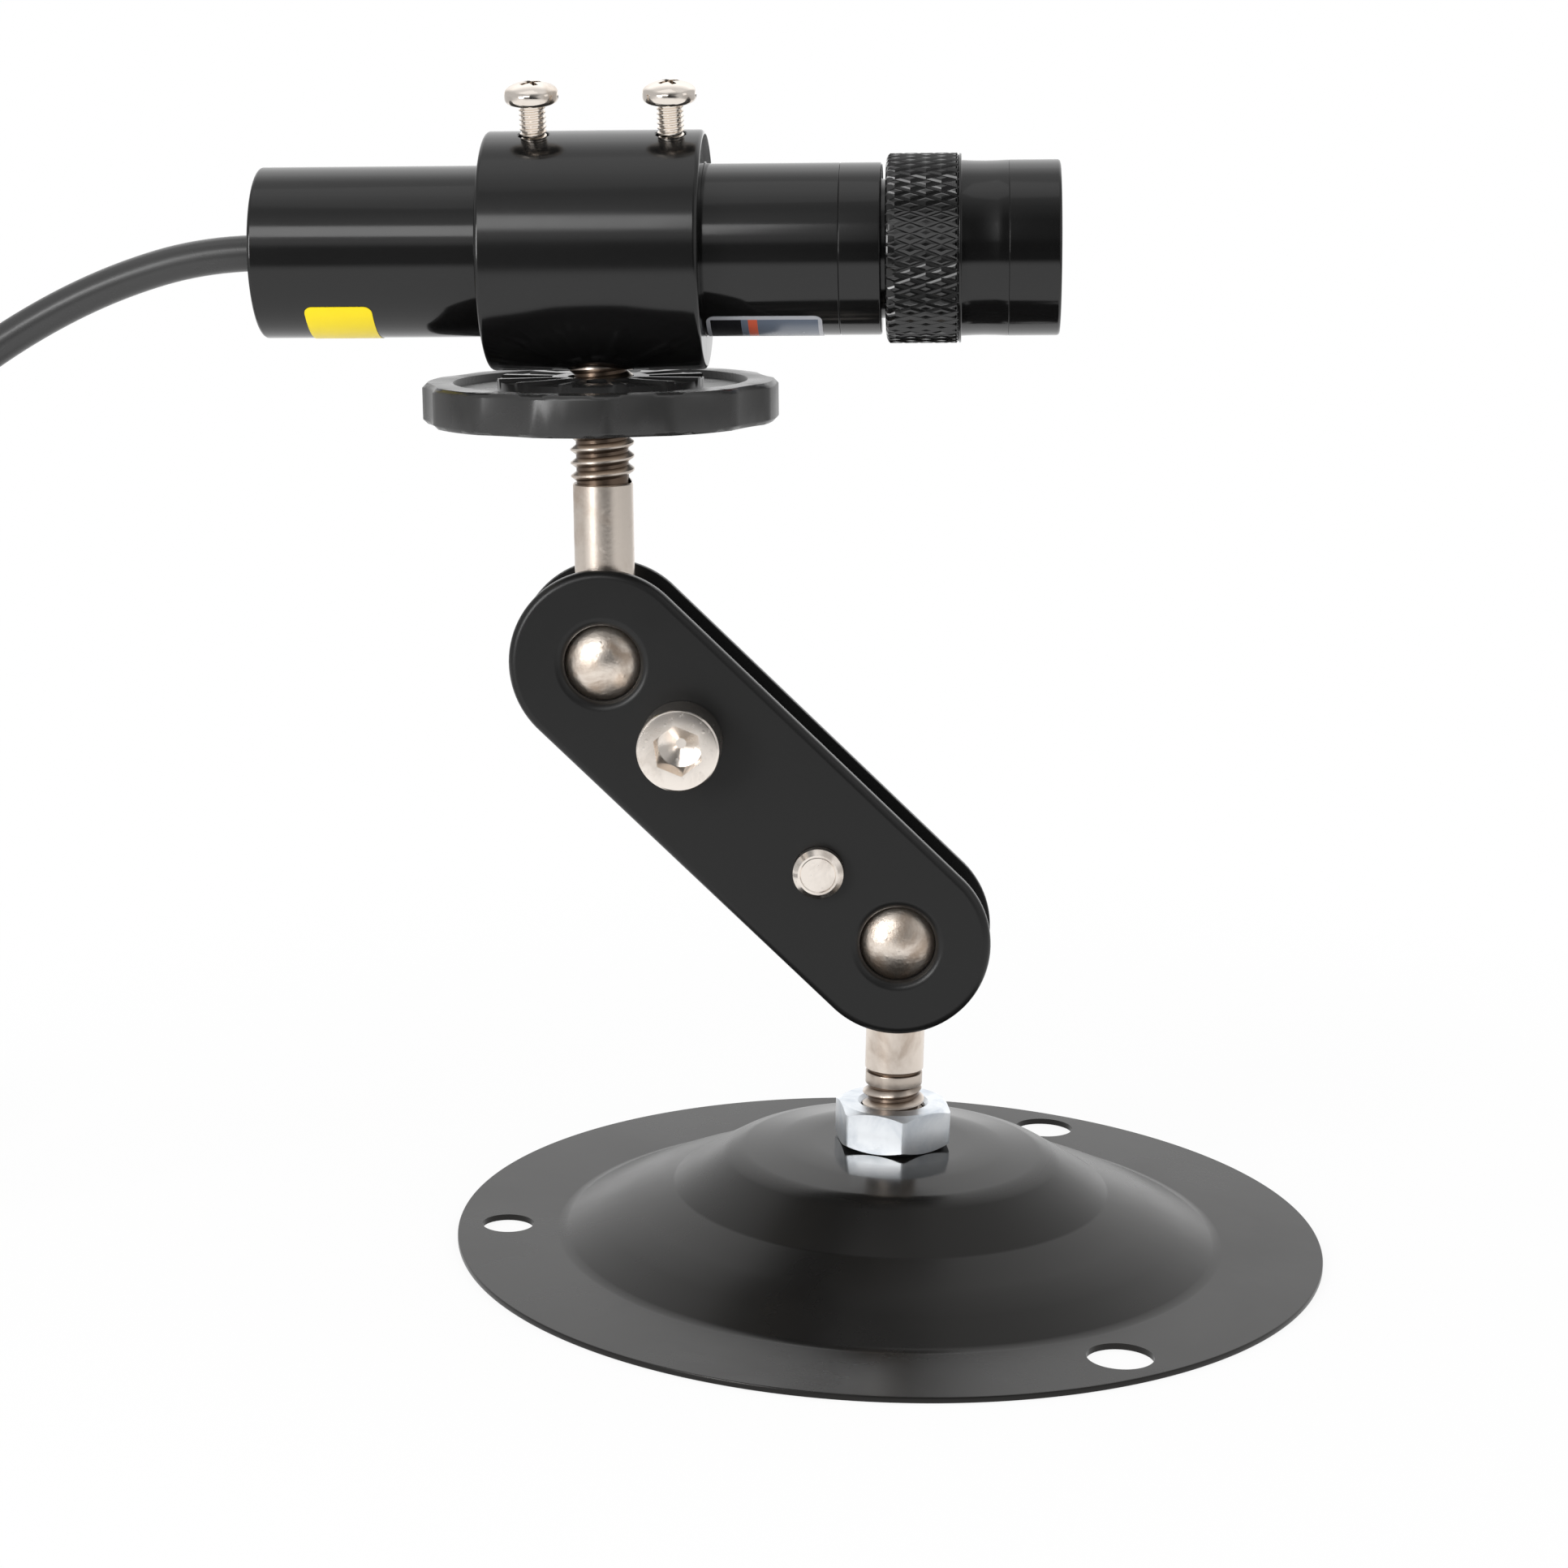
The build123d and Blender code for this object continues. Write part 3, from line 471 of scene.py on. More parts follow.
# The grey film reads its own map: x runs along the module and y round it, both from 0 to 1
def makeGreyFilm():
    material, tree, sockets, place = newMaterial("greyFilm")
    grain = useGroup(tree, grainGroup, place, Fine=greyFields["fine"], Broad=greyFields["broad"])
    fields = splitAxes(tree, addNode(tree, "ShaderNodeUVMap", uv_map="fields").outputs["UV"])
    along, around = fields["X"], fields["Y"]
    isDark = mathNode(tree, "LESS_THAN", along, greyFields["darkEnd"])
    isWarm = mathNode(
        tree, "MULTIPLY", mathNode(tree, "GREATER_THAN", along, greyFields["warmStart"]),
        mathNode(tree, "LESS_THAN", along, greyFields["warmEnd"]))
    fromEnds = mathNode(tree, "MINIMUM", along, mathNode(tree, "SUBTRACT", 1.0, along))
    fromSides = mathNode(tree, "MINIMUM", around, mathNode(tree, "SUBTRACT", 1.0, around))
    isBorder = mathNode(
        tree, "MAXIMUM", mathNode(tree, "LESS_THAN", fromEnds, greyFields["borderWide"]),
        mathNode(tree, "LESS_THAN", fromSides, greyFields["borderHigh"]))
    colour = mixColour(tree, isDark, greyFields["slate"], greyFields["dark"])
    colour = mixColour(tree, isWarm, colour, greyFields["warm"])
    colour = mixColour(tree, isBorder, colour, greyFields["border"])
    feed(tree, colour, sockets["Base Color"])
    feed(tree, mapRange(tree, grain["Patches"], *patchEdges, *greyFields["sheen"]), sockets["Roughness"])
    return material


yellowFilm = makeYellowFilm()
greyFilm = makeGreyFilm()
print("materials made")

# Steps in a full turn, from the widest shapes to small bores
fineness = {
    "wide": 256,
    "middle": 128,
    "narrow": 96,
    "bore": 64,
}


# Mesh tools
def meshOf(bm, name):
    mesh = bpy.data.meshes.new(name)
    bm.to_mesh(mesh)
    bm.free()
    return mesh


def join(bm, other):
    mesh = meshOf(other, "joined")
    bm.from_mesh(mesh)
    bpy.data.meshes.remove(mesh)


def everything(bm):
    return bm.verts[:] + bm.edges[:] + bm.faces[:]


def cornersOf(parts):
    return [part for part in parts if isinstance(part, bmesh.types.BMVert)]


def shiftBy(bm, x, y, z):
    bmesh.ops.translate(bm, verts=bm.verts[:], vec=(x, y, z))


def turnBy(bm, angle, axis):
    bmesh.ops.rotate(bm, verts=bm.verts[:], cent=(0, 0, 0), matrix=Matrix.Rotation(angle, 3, axis))


def roundEdges(bm, edges, offset, segments=2):
    bmesh.ops.bevel(bm, geom=edges, offset=offset, affect="EDGES", segments=segments, profile=0.5,
                    material=-1)


def linkUp(bm, points):
    for first, second in zip(points, points[1:]):
        bm.edges.new((first, second))


# How far a face looks away from the z axis
def lookOut(face):
    middle = face.calc_center_median()
    return face.normal.dot(Vector((middle.x, middle.y, 0)))


# A turned shape from (station, radius) corners on the z axis; a third value rounds that corner
def turned(corners, steps=fineness["narrow"], closed=True, segments=4):
    bm = bmesh.new()
    points = [bm.verts.new((corner[1], 0, corner[0])) for corner in corners]
    linkUp(bm, points)
    if closed:
        bm.edges.new((points[-1], points[0]))
    places = [point.co.copy() for point in points]
    for index, (corner, point) in enumerate(zip(corners, points)):
        if len(corner) > 2:
            before = places[index] - places[index - 1]
            after = places[(index + 1) % len(places)] - places[index]
            reach = corner[2] * math.tan(before.angle(after) / 2)
            bmesh.ops.bevel(bm, geom=[point], offset=reach, offset_type="OFFSET", affect="VERTICES",
                            segments=segments, profile=0.5, material=-1)
    bmesh.ops.spin(bm, geom=bm.verts[:] + bm.edges[:], cent=(0, 0, 0), axis=(0, 0, 1), dvec=(0, 0, 0),
                   angle=2 * math.pi, steps=steps, use_merge=True)
    bmesh.ops.remove_doubles(bm, verts=bm.verts[:], dist=weld)
    bmesh.ops.recalc_face_normals(bm, faces=bm.faces[:])
    return bm


def rod(radius, start, end, segments=fineness["bore"]):
    bm = bmesh.new()
    bmesh.ops.create_cone(bm, cap_ends=True, segments=segments, radius1=radius, radius2=radius,
                          depth=end - start)
    shiftBy(bm, 0, 0, (start + end) / 2)
    return bm


def block(wide, deep, high):
    bm = bmesh.new()
    bmesh.ops.create_cube(bm, size=1)
    bmesh.ops.scale(bm, verts=bm.verts[:], vec=(wide, deep, high))
    return bm


def subtract(bm, *cutters):
    target, *tools = [addObject("temporary", meshOf(shape, "temporary")) for shape in (bm, *cutters)]
    for tool in tools:
        change = target.modifiers.new("cut", "BOOLEAN")
        change.operation = "DIFFERENCE"
        change.solver = "EXACT"
        change.object = tool
    solid = target.evaluated_get(bpy.context.evaluated_depsgraph_get())
    result = bmesh.new()
    result.from_mesh(solid.to_mesh())
    solid.to_mesh_clear()
    for thing in [target, *tools]:
        mesh = thing.data
        bpy.data.objects.remove(thing)
        bpy.data.meshes.remove(mesh)
    return result


# A right hand thread: one pitch of its outline carried round and along, rising over its first pitch
threadShape = {
    "rootShare": 0.12,
    "riseShare": 0.9,
    "weld": 0.002,
}


def threaded(start, end, root, crest, pitch, crestShare=0.14, perTurn=40):
    bm = bmesh.new()
    flank = (1 - crestShare) / 2
    edge = threadShape["rootShare"]
    outline = [(edge, root), (flank, crest), (flank + crestShare, crest), (1 - edge, root),
               (1 + edge, root)]
    linkUp(bm, [bm.verts.new((radius, 0, share * pitch)) for share, radius in outline])
    turns = (end - start) / pitch + 1
    bmesh.ops.spin(bm, geom=bm.verts[:] + bm.edges[:], cent=(0, 0, 0), axis=(0, 0, 1),
                   dvec=(0, 0, pitch / perTurn), angle=2 * math.pi * turns, steps=round(perTurn * turns))
    shiftBy(bm, 0, 0, start)
    bmesh.ops.remove_doubles(bm, verts=bm.verts[:], dist=threadShape["weld"])
    for point in bm.verts:
        risen = (point.co.z - start - edge * pitch) / (threadShape["riseShare"] * pitch)
        radius = math.hypot(point.co.x, point.co.y)
        share = (root + (radius - root) * min(1, max(0, risen))) / radius
        point.co.x *= share
        point.co.y *= share
    bmesh.ops.bisect_plane(bm, geom=everything(bm), plane_co=(0, 0, end), plane_no=(0, 0, 1),
                           clear_outer=True)
    bmesh.ops.recalc_face_normals(bm, faces=bm.faces[:])
    if sum(lookOut(face) for face in bm.faces) < 0:
        bmesh.ops.reverse_faces(bm, faces=bm.faces[:])
    return bm


def addPiece(bm, name, place, material, sharp=30):
    bm.transform(place)
    mesh = meshOf(bm, name)
    mesh.materials.append(material)
    mesh.shade_smooth()
    mesh.set_sharp_from_angle(angle=math.radians(sharp))
    piece = addObject(name, mesh)
    even = piece.modifiers.new("evenNormals", "WEIGHTED_NORMAL")
    even.keep_sharp = True
    return piece


def standFor(piece, body, slot, *nodeNames):
    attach(piece, body)
    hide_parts(*nodeNames)
    return piece


# Lead, in millimetres: down behind the module, along the floor and into its coil
lead = {
    "radius": 1.7,
    "floorHeight": 1.75,
    "rearStation": -31.8,
    "straight": 5.4,
    "drop": [
        (-76.8, 0, 92.2), (-85.5, -0.5, 87.6), (-93.5, -2, 81.6), (-99.0, -7.4, 71.2),
        (-102.4, -14.4, 58.7), (-104.3, -21.0, 45.3), (-105.1, -25.0, 32.0), (-105.3, -26.3, 19.9),
        (-105.2, -23.2, 11.5), (-105.1, -16.8, 5.1), (-105.0, -8.5, 1.75), (-105.0, 0, 1.75),
    ],
    "coilCentre": (-125.75, 13.0),
    "outerTurn": 20.75,
    "innerTurn": 17.25,
    "inAt": 0.7,
    "outAt": 2.7,
    "topHeight": 5.15,
    "upAt": 1.7,
    "change": 0.25,  # share of a turn in which it moves in, out or up
    "spread": 1.008,  # the curve runs a little inside its points
    "pointsPerTurn": 16,
    "turns": 3.5,
    "length": 0.575,
    "roundness": 8,
    "smoothness": 10,
}


def levelOf(turn, first, *changes):
    value = first
    for start, target in changes:
        share = min(1, max(0, (turn - start) / lead["change"]))
        value += (target - value) * share * share * (3 - 2 * share)
    return value


def leadRoute():
    leave = moduleOrigin / millimetre + moduleWay * lead["rearStation"]
    route = [leave, leave - moduleWay * lead["straight"]] + [Vector(point) for point in lead["drop"]]
    centreX, centreY = lead["coilCentre"]
    outer, inner, top = lead["outerTurn"], lead["innerTurn"], lead["topHeight"]
    count = lead["pointsPerTurn"]
    for step in range(round(lead["turns"] * count) + 1):
        turn = step / count
        radius = levelOf(turn, outer, (lead["inAt"], inner), (lead["outAt"], outer)) * lead["spread"]
        angle = 2 * math.pi * turn
        route.append(Vector((
            centreX + radius * math.cos(angle),
            centreY + radius * math.sin(angle),
            levelOf(turn, lead["floorHeight"], (lead["upAt"], top)))))
    route.append(Vector((centreX - outer, centreY / 2, top)))
    route.append(Vector((centreX - outer, 0, top)))
    return [point * millimetre for point in route]


def addLead():
    route = leadRoute()
    curve = bpy.data.curves.new("lead", "CURVE")
    curve.dimensions = "3D"
    curve.bevel_depth = lead["radius"] * millimetre
    curve.bevel_resolution = lead["roundness"]
    curve.resolution_u = lead["smoothness"]
    curve.use_fill_caps = True
    spline = curve.splines.new("NURBS")
    spline.points.add(len(route) - 1)
    for point, place in zip(spline.points, route):
        point.co = (*place, 1)
    spline.order_u = 3
    spline.use_endpoint_u = True
    curve.materials.append(jacket)
    return standFor(addObject("lead", curve), "module", "lead_jacket", "power_lead", "lead_coil"), route


leadPiece, leadPoints = addLead()

# Plug: a moulded body with a ribbed strain relief, and its plated barrel
plug = {
    "reliefEnd": 10.0,
    "reliefRadius": 2.3,
    "ribs": 5,
    "ribShares": (0.15, 0.65, 0.7, 0.95),
    "ribDepth": 0.35,
    "ribEdge": 0.1,
    "bodyEnd": 26.0,
    "bodyRadius": 4.99,
    "bodyEdge": 0.8,
    "shoulder": 2.2,
    "shoulderStep": 0.4,
    "shoulderEdges": (0.5, 1.5),
    "waistRadius": 4.35,
    "gripRings": 4,
    "gripStart": 4.0,
    "gripPitch": 2.2,
    "gripWidth": 1.45,
    "gripSlope": 0.35,
    "gripEdges": (0.3, 0.25),
    "barrelEnd": 35.5,
    "barrelRadius": 2.75,
    "barrelEdge": 0.25,
    "flange": 1.2,
    "flangeStep": 0.2,
    "flangeEdge": 0.1,
    "boreRadius": 1.05,
    "boreWall": 2.05,
    "boreEdge": 0.15,
    "boreGroove": (1.2, 0.1),
}
plugPlace = placeAt(leadPoints[-1], rightWay, frontWay)


def addPlugBody():
    start, face, grip = lead["radius"], plug["reliefEnd"], plug["reliefRadius"]
    depth, edge = plug["ribDepth"], plug["ribEdge"]
    corners = [(0, 0), (0, start)]
    step = face / plug["ribs"]
    for rib in range(plug["ribs"]):
        crest = start + (grip - start) * (rib + 0.5) / plug["ribs"]
        rise, top, fall, foot = (rib * step + share * step for share in plug["ribShares"])
        corners += [(rise, crest, edge), (top, crest, edge), (fall, crest - depth), (foot, crest - depth)]
    rim, waist = plug["bodyRadius"], plug["waistRadius"]
    faceEdge, shoulderEdge = plug["shoulderEdges"]
    rimEdge, waistEdge = plug["gripEdges"]
    corners += [(face, grip), (face, rim - plug["shoulderStep"], faceEdge),
                (face + plug["shoulder"], rim, shoulderEdge)]
    for ringNumber in range(plug["gripRings"]):
        near = face + plug["gripStart"] + ringNumber * plug["gripPitch"]
        far = near + plug["gripWidth"]
        slope = plug["gripSlope"]
        corners += [(near, rim, rimEdge), (near + slope, waist, waistEdge), (far - slope, waist, waistEdge),
                    (far, rim, rimEdge)]
    corners += [(plug["bodyEnd"], rim, plug["bodyEdge"]), (plug["bodyEnd"], 0)]
    body = addPiece(turned(corners, closed=False, segments=3), "plugBody", plugPlace, plugPlastic)
    return standFor(body, "module", "plug_plastic", "plug_body")


def addPlugBarrel():
    start, end = plug["bodyEnd"], plug["barrelEnd"]
    bore, wall, outside = plug["boreRadius"], plug["boreWall"], plug["barrelRadius"]
    deep, wide = plug["boreGroove"]
    flange, neck = start + plug["flange"], outside - plug["flangeStep"]
    bm = turned([
        (start, bore), (end, bore), (end, wall, plug["boreEdge"]), (end - deep, wall),
        (end - deep, wall + wide), (end, wall + wide, wide), (end, outside, plug["barrelEdge"]),
        (flange, outside, plug["flangeEdge"]), (flange, neck), (start, neck)])
    barrel = addPiece(bm, "plugBarrel", plugPlace, screwNickel)
    return standFor(barrel, "module", "barrel_nickel", "plug_barrel")


plugPieces = [addPlugBody(), addPlugBarrel()]
print("lead and plug made")

# Base plate: pressed sheet, its underside drawn and thickened upwards
base = {
    "sheet": 0.6,
    "corners": [(9.25, 3.2), (9.25, 9.5, 25.0), (8.4, 15.5, 5.0), (4.85, 21.3, 2.0), (2.65, 27.0, 40.0),
                (0, 32.4, 3.0), (0, 42.9)],
    "rimRounding": 0.12,
    "holeCircle": 38.0,
    "holes": [(64.6, 3.1), (-55.4, 3.1), (184.6, 2.55)],
    "holeCutter": (-2, 6),
}


def addBase():
    bm = turned(base["corners"], fineness["wide"], closed=False, segments=10)
    if sum(face.normal.z for face in bm.faces) > 0:
        bmesh.ops.reverse_faces(bm, faces=bm.faces[:])
    bmesh.ops.solidify(bm, geom=bm.faces[:], thickness=base["sheet"])
    bmesh.ops.recalc_face_normals(bm, faces=bm.faces[:])
    rimRadius = base["corners"][-1][1]
    rim = [edge for edge in bm.edges
           if all(math.hypot(point.co.x, point.co.y) > rimRadius - hair for point in edge.verts)
           and abs(edge.verts[0].co.z - edge.verts[1].co.z) < hair]
    roundEdges(bm, rim, base["rimRounding"])
    cutters = []
    for turn, radius in base["holes"]:
        cutter = rod(radius, *base["holeCutter"])
        angle = math.radians(turn)
        shiftBy(cutter, base["holeCircle"] * math.cos(angle), base["holeCircle"] * math.sin(angle), 0)
        cutters.append(cutter)
    piece = addPiece(subtract(bm, *cutters), "basePlate", basePlace, basePaint)
    standFor(piece, "base", "base_paint", "base_plate")


addBase()

# Base nut: a hexagon with crowned corners and a bored, unthreaded inside
nut = {
    "bottom": 9.85,
    "height": 4.1,
    "acrossFlats": 10.5,
    "turn": 12.0,
    "crown": 0.95,
    "crownDepth": 0.55,
    "bore": 3.15,
    "boreSinks": (0.3, 0.35),
    "boreFlares": (0.7, 1.3),
    "edge": 0.3,
}


def addNut():
    corner = nut["acrossFlats"] / math.sqrt(3)
    crown, deep, height, bore = nut["crown"], nut["crownDepth"], nut["height"], nut["bore"]
    bm = rod(corner, 0, height, segments=6)
    turnBy(bm, math.radians(nut["turn"]), "Z")
    upright = [edge for edge in bm.edges if abs(edge.verts[0].co.z - edge.verts[1].co.z) > hair]
    roundEdges(bm, upright, nut["edge"])
    wide = corner + 3 * past
    below = turned([
        (-past, 0), (-past, corner - 3 * crown), (0, corner - crown), (deep, corner + 2 * hair),
        (deep, wide), (-2 * past, wide), (-2 * past, 0)], closed=False)
    above = below.copy()
    bmesh.ops.scale(above, verts=above.verts[:], vec=(1, 1, -1))
    shiftBy(above, 0, 0, height)
    bmesh.ops.reverse_faces(above, faces=above.faces[:])
    lowSink, highSink = nut["boreSinks"]
    lowFlare, highFlare = nut["boreFlares"]
    inside = turned([
        (-past, 0), (-past, bore + lowFlare), (0, bore + lowSink), (lowSink, bore),
        (height - highSink, bore), (height, bore + highSink), (height + past, bore + highFlare),
        (height + past, 0)], fineness["bore"], closed=False)
    bm = subtract(bm, below, above, inside)
    shiftBy(bm, 0, 0, nut["bottom"])
    standFor(addPiece(bm, "baseNut", basePlace, zinc, sharp=25), "base", "zinc", "base_nut")


addNut()
print("base made")

# Ball studs: ball, plain shank and a cut thread, the lower one with a plain band before its thread
stud = {
    "ball": 5.0,
    "ballSteps": 32,
    "shank": 2.875,
    "shankEdge": 0.12,
    "length": 30.4,
    "bandRadius": 2.8,
    "bandEdge": 0.06,
    "groove": 0.32,
    "crest": 3.05,
    "root": 2.5,
    "pitch": 1.27,
    "end": (0.6, 0.4),
    "threadStop": 0.7,
    "paintedThreadShadeStart": 0.15,
}
studs = {
    "lower": {"name": "lowerBallStud", "body": "lower_post", "node": "lower_ball_stud",
              "place": lowerStudPlace, "plain": 13.6, "band": 1.2, "runIn": 0.3},
    "upper": {"name": "upperBallStud", "body": "upper_post", "node": "upper_ball_stud",
              "place": upperStudPlace, "plain": 16.9, "band": 0.0, "runIn": 0.95},
}


def addStud(kind):
    ball, shank, root, crest, end = stud["ball"], stud["shank"], stud["root"], stud["crest"], stud["length"]
    steps, plain = stud["ballSteps"], kind["plain"]
    first = math.asin(shank / ball)
    corners = [(-ball, 0)]
    for step in range(1, steps + 1):
        angle = math.pi - (math.pi - first) * step / steps
        corners.append((ball * math.cos(angle), ball * math.sin(angle)))
    edge = stud["shankEdge"]
    corners += [(plain - edge, shank), (plain, shank - edge), (plain, root)]
    threadStart = plain + stud["groove"] + kind["band"]
    if kind["band"]:
        bandStart, radius, rounding = plain + stud["groove"], stud["bandRadius"], stud["bandEdge"]
        corners += [(bandStart, root), (bandStart, radius, rounding), (threadStart, radius, rounding),
                    (threadStart, root)]
    endLength, endDepth = stud["end"]
    corners += [(end - endLength, root), (end, root - endDepth), (end, 0)]
    bm = turned(corners, closed=False)
    for face in bm.faces:
        if face.calc_center_median().length < ball + hair:
            face.material_index = 1
    join(bm, threaded(threadStart - kind["runIn"], end - stud["threadStop"], root + hair, crest,
                      stud["pitch"]))
    # Painted shade: each corner gets a darker colour the nearer it lies to the thread root
    paintedThreadShade = bm.verts.layers.float.new("paintedThreadShade")
    for point in bm.verts:
        deep = (crest - math.hypot(point.co.x, point.co.y)) / (crest - root)
        if point.co.z > plain - 5 * hair:
            point[paintedThreadShade] = min(1, max(0, (1 + stud["paintedThreadShadeStart"]) * deep - stud["paintedThreadShadeStart"]))
    piece = addPiece(bm, kind["name"], kind["place"], nickel, sharp=28)
    piece.data.materials.append(ballNickel)
    standFor(piece, kind["body"], "nickel", kind["node"])


addStud(studs["lower"])
addStud(studs["upper"])

# Arm plates: rounded strips with rolled rims round the balls
arm = {
    "spacing": 39.4,
    "halfWidth": 9.0,
    "gap": 6.3,
    "thickness": 1.5,
    "edge": 0.8,
    "innerEdge": 0.15,
    "ballSeat": 5.05,
    "ballHole": 3.65,
    "ballRim": 0.95,
    "seatStart": 2.0,
    "arcSteps": 6,
    "boltOffset": 10.6,
    "boltHole": 2.475,
    "boltCutter": (-1, 3),
    "roundSegments": 96,
}


def ballCutter():
    seat, hole, rim, steps = arm["ballSeat"], arm["ballHole"], arm["ballRim"], arm["arcSteps"]
    centre, top = -arm["gap"] / 2, arm["thickness"]
    lowest, highest = arm["seatStart"], math.sqrt(seat**2 - hole**2)
    corners = [(centre + lowest, 0)]
    for step in range(steps + 1):
        depth = lowest + (highest - lowest) * step / steps
        corners.append((centre + depth, math.sqrt(seat**2 - depth**2)))
    for step in range(steps + 1):
        angle = math.pi / 2 * step / steps
        corners.append((top - rim + rim * math.sin(angle), hole + rim - rim * math.cos(angle)))
    corners += [(top + past, hole + rim + hair), (top + past, 0)]
    return turned(corners, closed=False)


def addPlate(name, node, side):
    count, spacing, thickness = arm["roundSegments"], arm["spacing"], arm["thickness"]
    bm = bmesh.new()
    bmesh.ops.create_circle(bm, cap_ends=True, radius=arm["halfWidth"], segments=count)
    turnBy(bm, math.pi / count, "Z")
    farHalf = [point for point in bm.verts if point.co.x > 0]
    bmesh.ops.translate(bm, verts=farHalf, vec=(spacing, 0, 0))
    grown = bmesh.ops.extrude_face_region(bm, geom=bm.faces[:])["geom"]
    bmesh.ops.translate(bm, verts=cornersOf(grown), vec=(0, 0, thickness))
    bmesh.ops.recalc_face_normals(bm, faces=bm.faces[:])
    outer = [edge for edge in bm.edges if all(point.co.z > thickness - hair for point in edge.verts)]
    roundEdges(bm, outer, arm["edge"], segments=6)
    inner = [edge for edge in bm.edges if all(point.co.z < hair for point in edge.verts)]
    roundEdges(bm, inner, arm["innerEdge"])
    cutters = []
    for station in (0, spacing):
        cutters.append(ballCutter())
        shiftBy(cutters[-1], station, 0, 0)
    for station in (arm["boltOffset"], spacing - arm["boltOffset"]):
        cutters.append(rod(arm["boltHole"], *arm["boltCutter"]))
        shiftBy(cutters[-1], station, 0, 0)
    bm = subtract(bm, *cutters)
    shiftBy(bm, 0, 0, arm["gap"] / 2)
    if side < 0:
        turnBy(bm, math.pi, "X")
    standFor(addPiece(bm, name, armPlace, armPaint), "arm", "arm_paint", node)


addPlate("frontPlate", "front_plate", 1)
addPlate("rearPlate", "rear_plate", -1)

# Clamp bolts: hexagon socket in the head, drilled bottom, chamfered and dished thread end
bolt = {
    "headRadius": 3.95,
    "headHeight": 4.9,
    "headEdge": 0.3,
    "headUnderEdge": 0.15,
    "socket": 4.3,
    "socketDepth": 3.2,
    "drillDepth": 0.7,
    "drillFlat": 0.5,
    "drillTop": 0.4,
    "radius": 2.44,
    "end": 1.8,
    "endChamfer": 0.5,
    "endRim": 0.2,
    "endSlope": 0.1,
    "endDish": 0.12,
    "turn": -8.0,
}


def addBolt(name, node, station, side):
    face = arm["gap"] / 2 + arm["thickness"]
    top, low = face + bolt["headHeight"], -face - bolt["end"]
    head, radius, under = bolt["headRadius"], bolt["radius"], bolt["headUnderEdge"]
    flat, chamfered = bolt["socket"] / 2, radius - bolt["endChamfer"]
    dish = low + bolt["endDish"]
    bm = turned([
        (top, 0), (top, head, bolt["headEdge"]), (face + under, head), (face, head - under), (face, radius),
        (low + bolt["endChamfer"], radius), (low, chamfered), (low, chamfered - bolt["endRim"]),
        (dish, chamfered - bolt["endRim"] - bolt["endSlope"]), (dish, 0)], closed=False)
    bottom = top - bolt["socketDepth"]
    prism = rod(bolt["socket"] / math.sqrt(3), bottom, top + past, segments=6)
    turnBy(prism, math.radians(bolt["turn"]), "Z")
    point, drillTop = bottom - bolt["drillDepth"], bottom + bolt["drillTop"]
    drill = turned([(point, 0), (point, bolt["drillFlat"]), (bottom, flat), (drillTop, flat), (drillTop, 0)],
                   fineness["bore"], closed=False)
    bm = subtract(bm, prism, drill)
    if side < 0:
        turnBy(bm, math.pi, "X")
    shiftBy(bm, station, 0, 0)
    standFor(addPiece(bm, name, armPlace, boltSteel, sharp=18), "arm", "bolt_steel", node)


addBolt("upperClampBolt", "upper_clamp_bolt", arm["spacing"] - arm["boltOffset"], 1)
addBolt("lowerClampBolt", "lower_clamp_bolt", arm["boltOffset"], -1)
print("arm made")


# Lock disc: a smoothly shaded copy of the frame's own lobed shape, its loose triangles joined first
def addDisc():
    bm = bmesh.new()
    bm.from_mesh(frame["nodes"]["lock_disc"].data)
    bmesh.ops.remove_doubles(bm, verts=bm.verts[:], dist=2 * micrometre)
    piece = addPiece(bm, "lockDisc", Matrix.Identity(4), discPlastic, sharp=35)
    standFor(piece, "hand_nut", "disc_plastic", "lock_disc")


addDisc()

# Collar with its two tapped holes
collar = {
    "bore": 8.05,
    "boreEdge": 0.15,
    "radius": 11.15,
    "halfLength": 10.25,
    "edge": 0.45,
    "studHole": 3.12,
    "studCutter": (-15, -4),
    "screwHole": 1.42,
    "screwSink": 0.12,
    "screwCutter": (4, 13.15),
    "sinkRise": 0.6,
    "screwPlaces": (-5.5, 7.3),
    "screwTurn": 14.0,
}
screwTurn = math.radians(collar["screwTurn"])
screwWay = studWay * math.cos(screwTurn) + frontWay * math.sin(screwTurn)


def addCollar():
    half, radius, bore, edge = collar["halfLength"], collar["radius"], collar["bore"], collar["boreEdge"]
    bm = turned([(-half, bore, edge), (half, bore, edge), (half, radius, collar["edge"]),
                 (-half, radius, collar["edge"])], fineness["wide"])
    hole, sink, rise = collar["screwHole"], collar["screwSink"], collar["sinkRise"]
    start, end = collar["screwCutter"]
    lying = Matrix.Rotation(math.pi / 2, 4, "Y")
    cutters = []
    for station in collar["screwPlaces"]:
        cutter = turned([
            (start, 0), (start, hole), (radius - sink, hole), (radius + rise, hole + sink + rise),
            (end, hole + sink + rise), (end, 0)], fineness["bore"], closed=False)
        cutter.transform(Matrix.Translation((0, 0, station)) @ Matrix.Rotation(screwTurn, 4, "Z") @ lying)
        cutters.append(cutter)
    cutters.append(rod(collar["studHole"], *collar["studCutter"]))
    cutters[-1].transform(lying)
    piece = addPiece(subtract(bm, *cutters), "collar", modulePlace, collarBlack)
    standFor(piece, "head", "black_anodised", "collar")


addCollar()

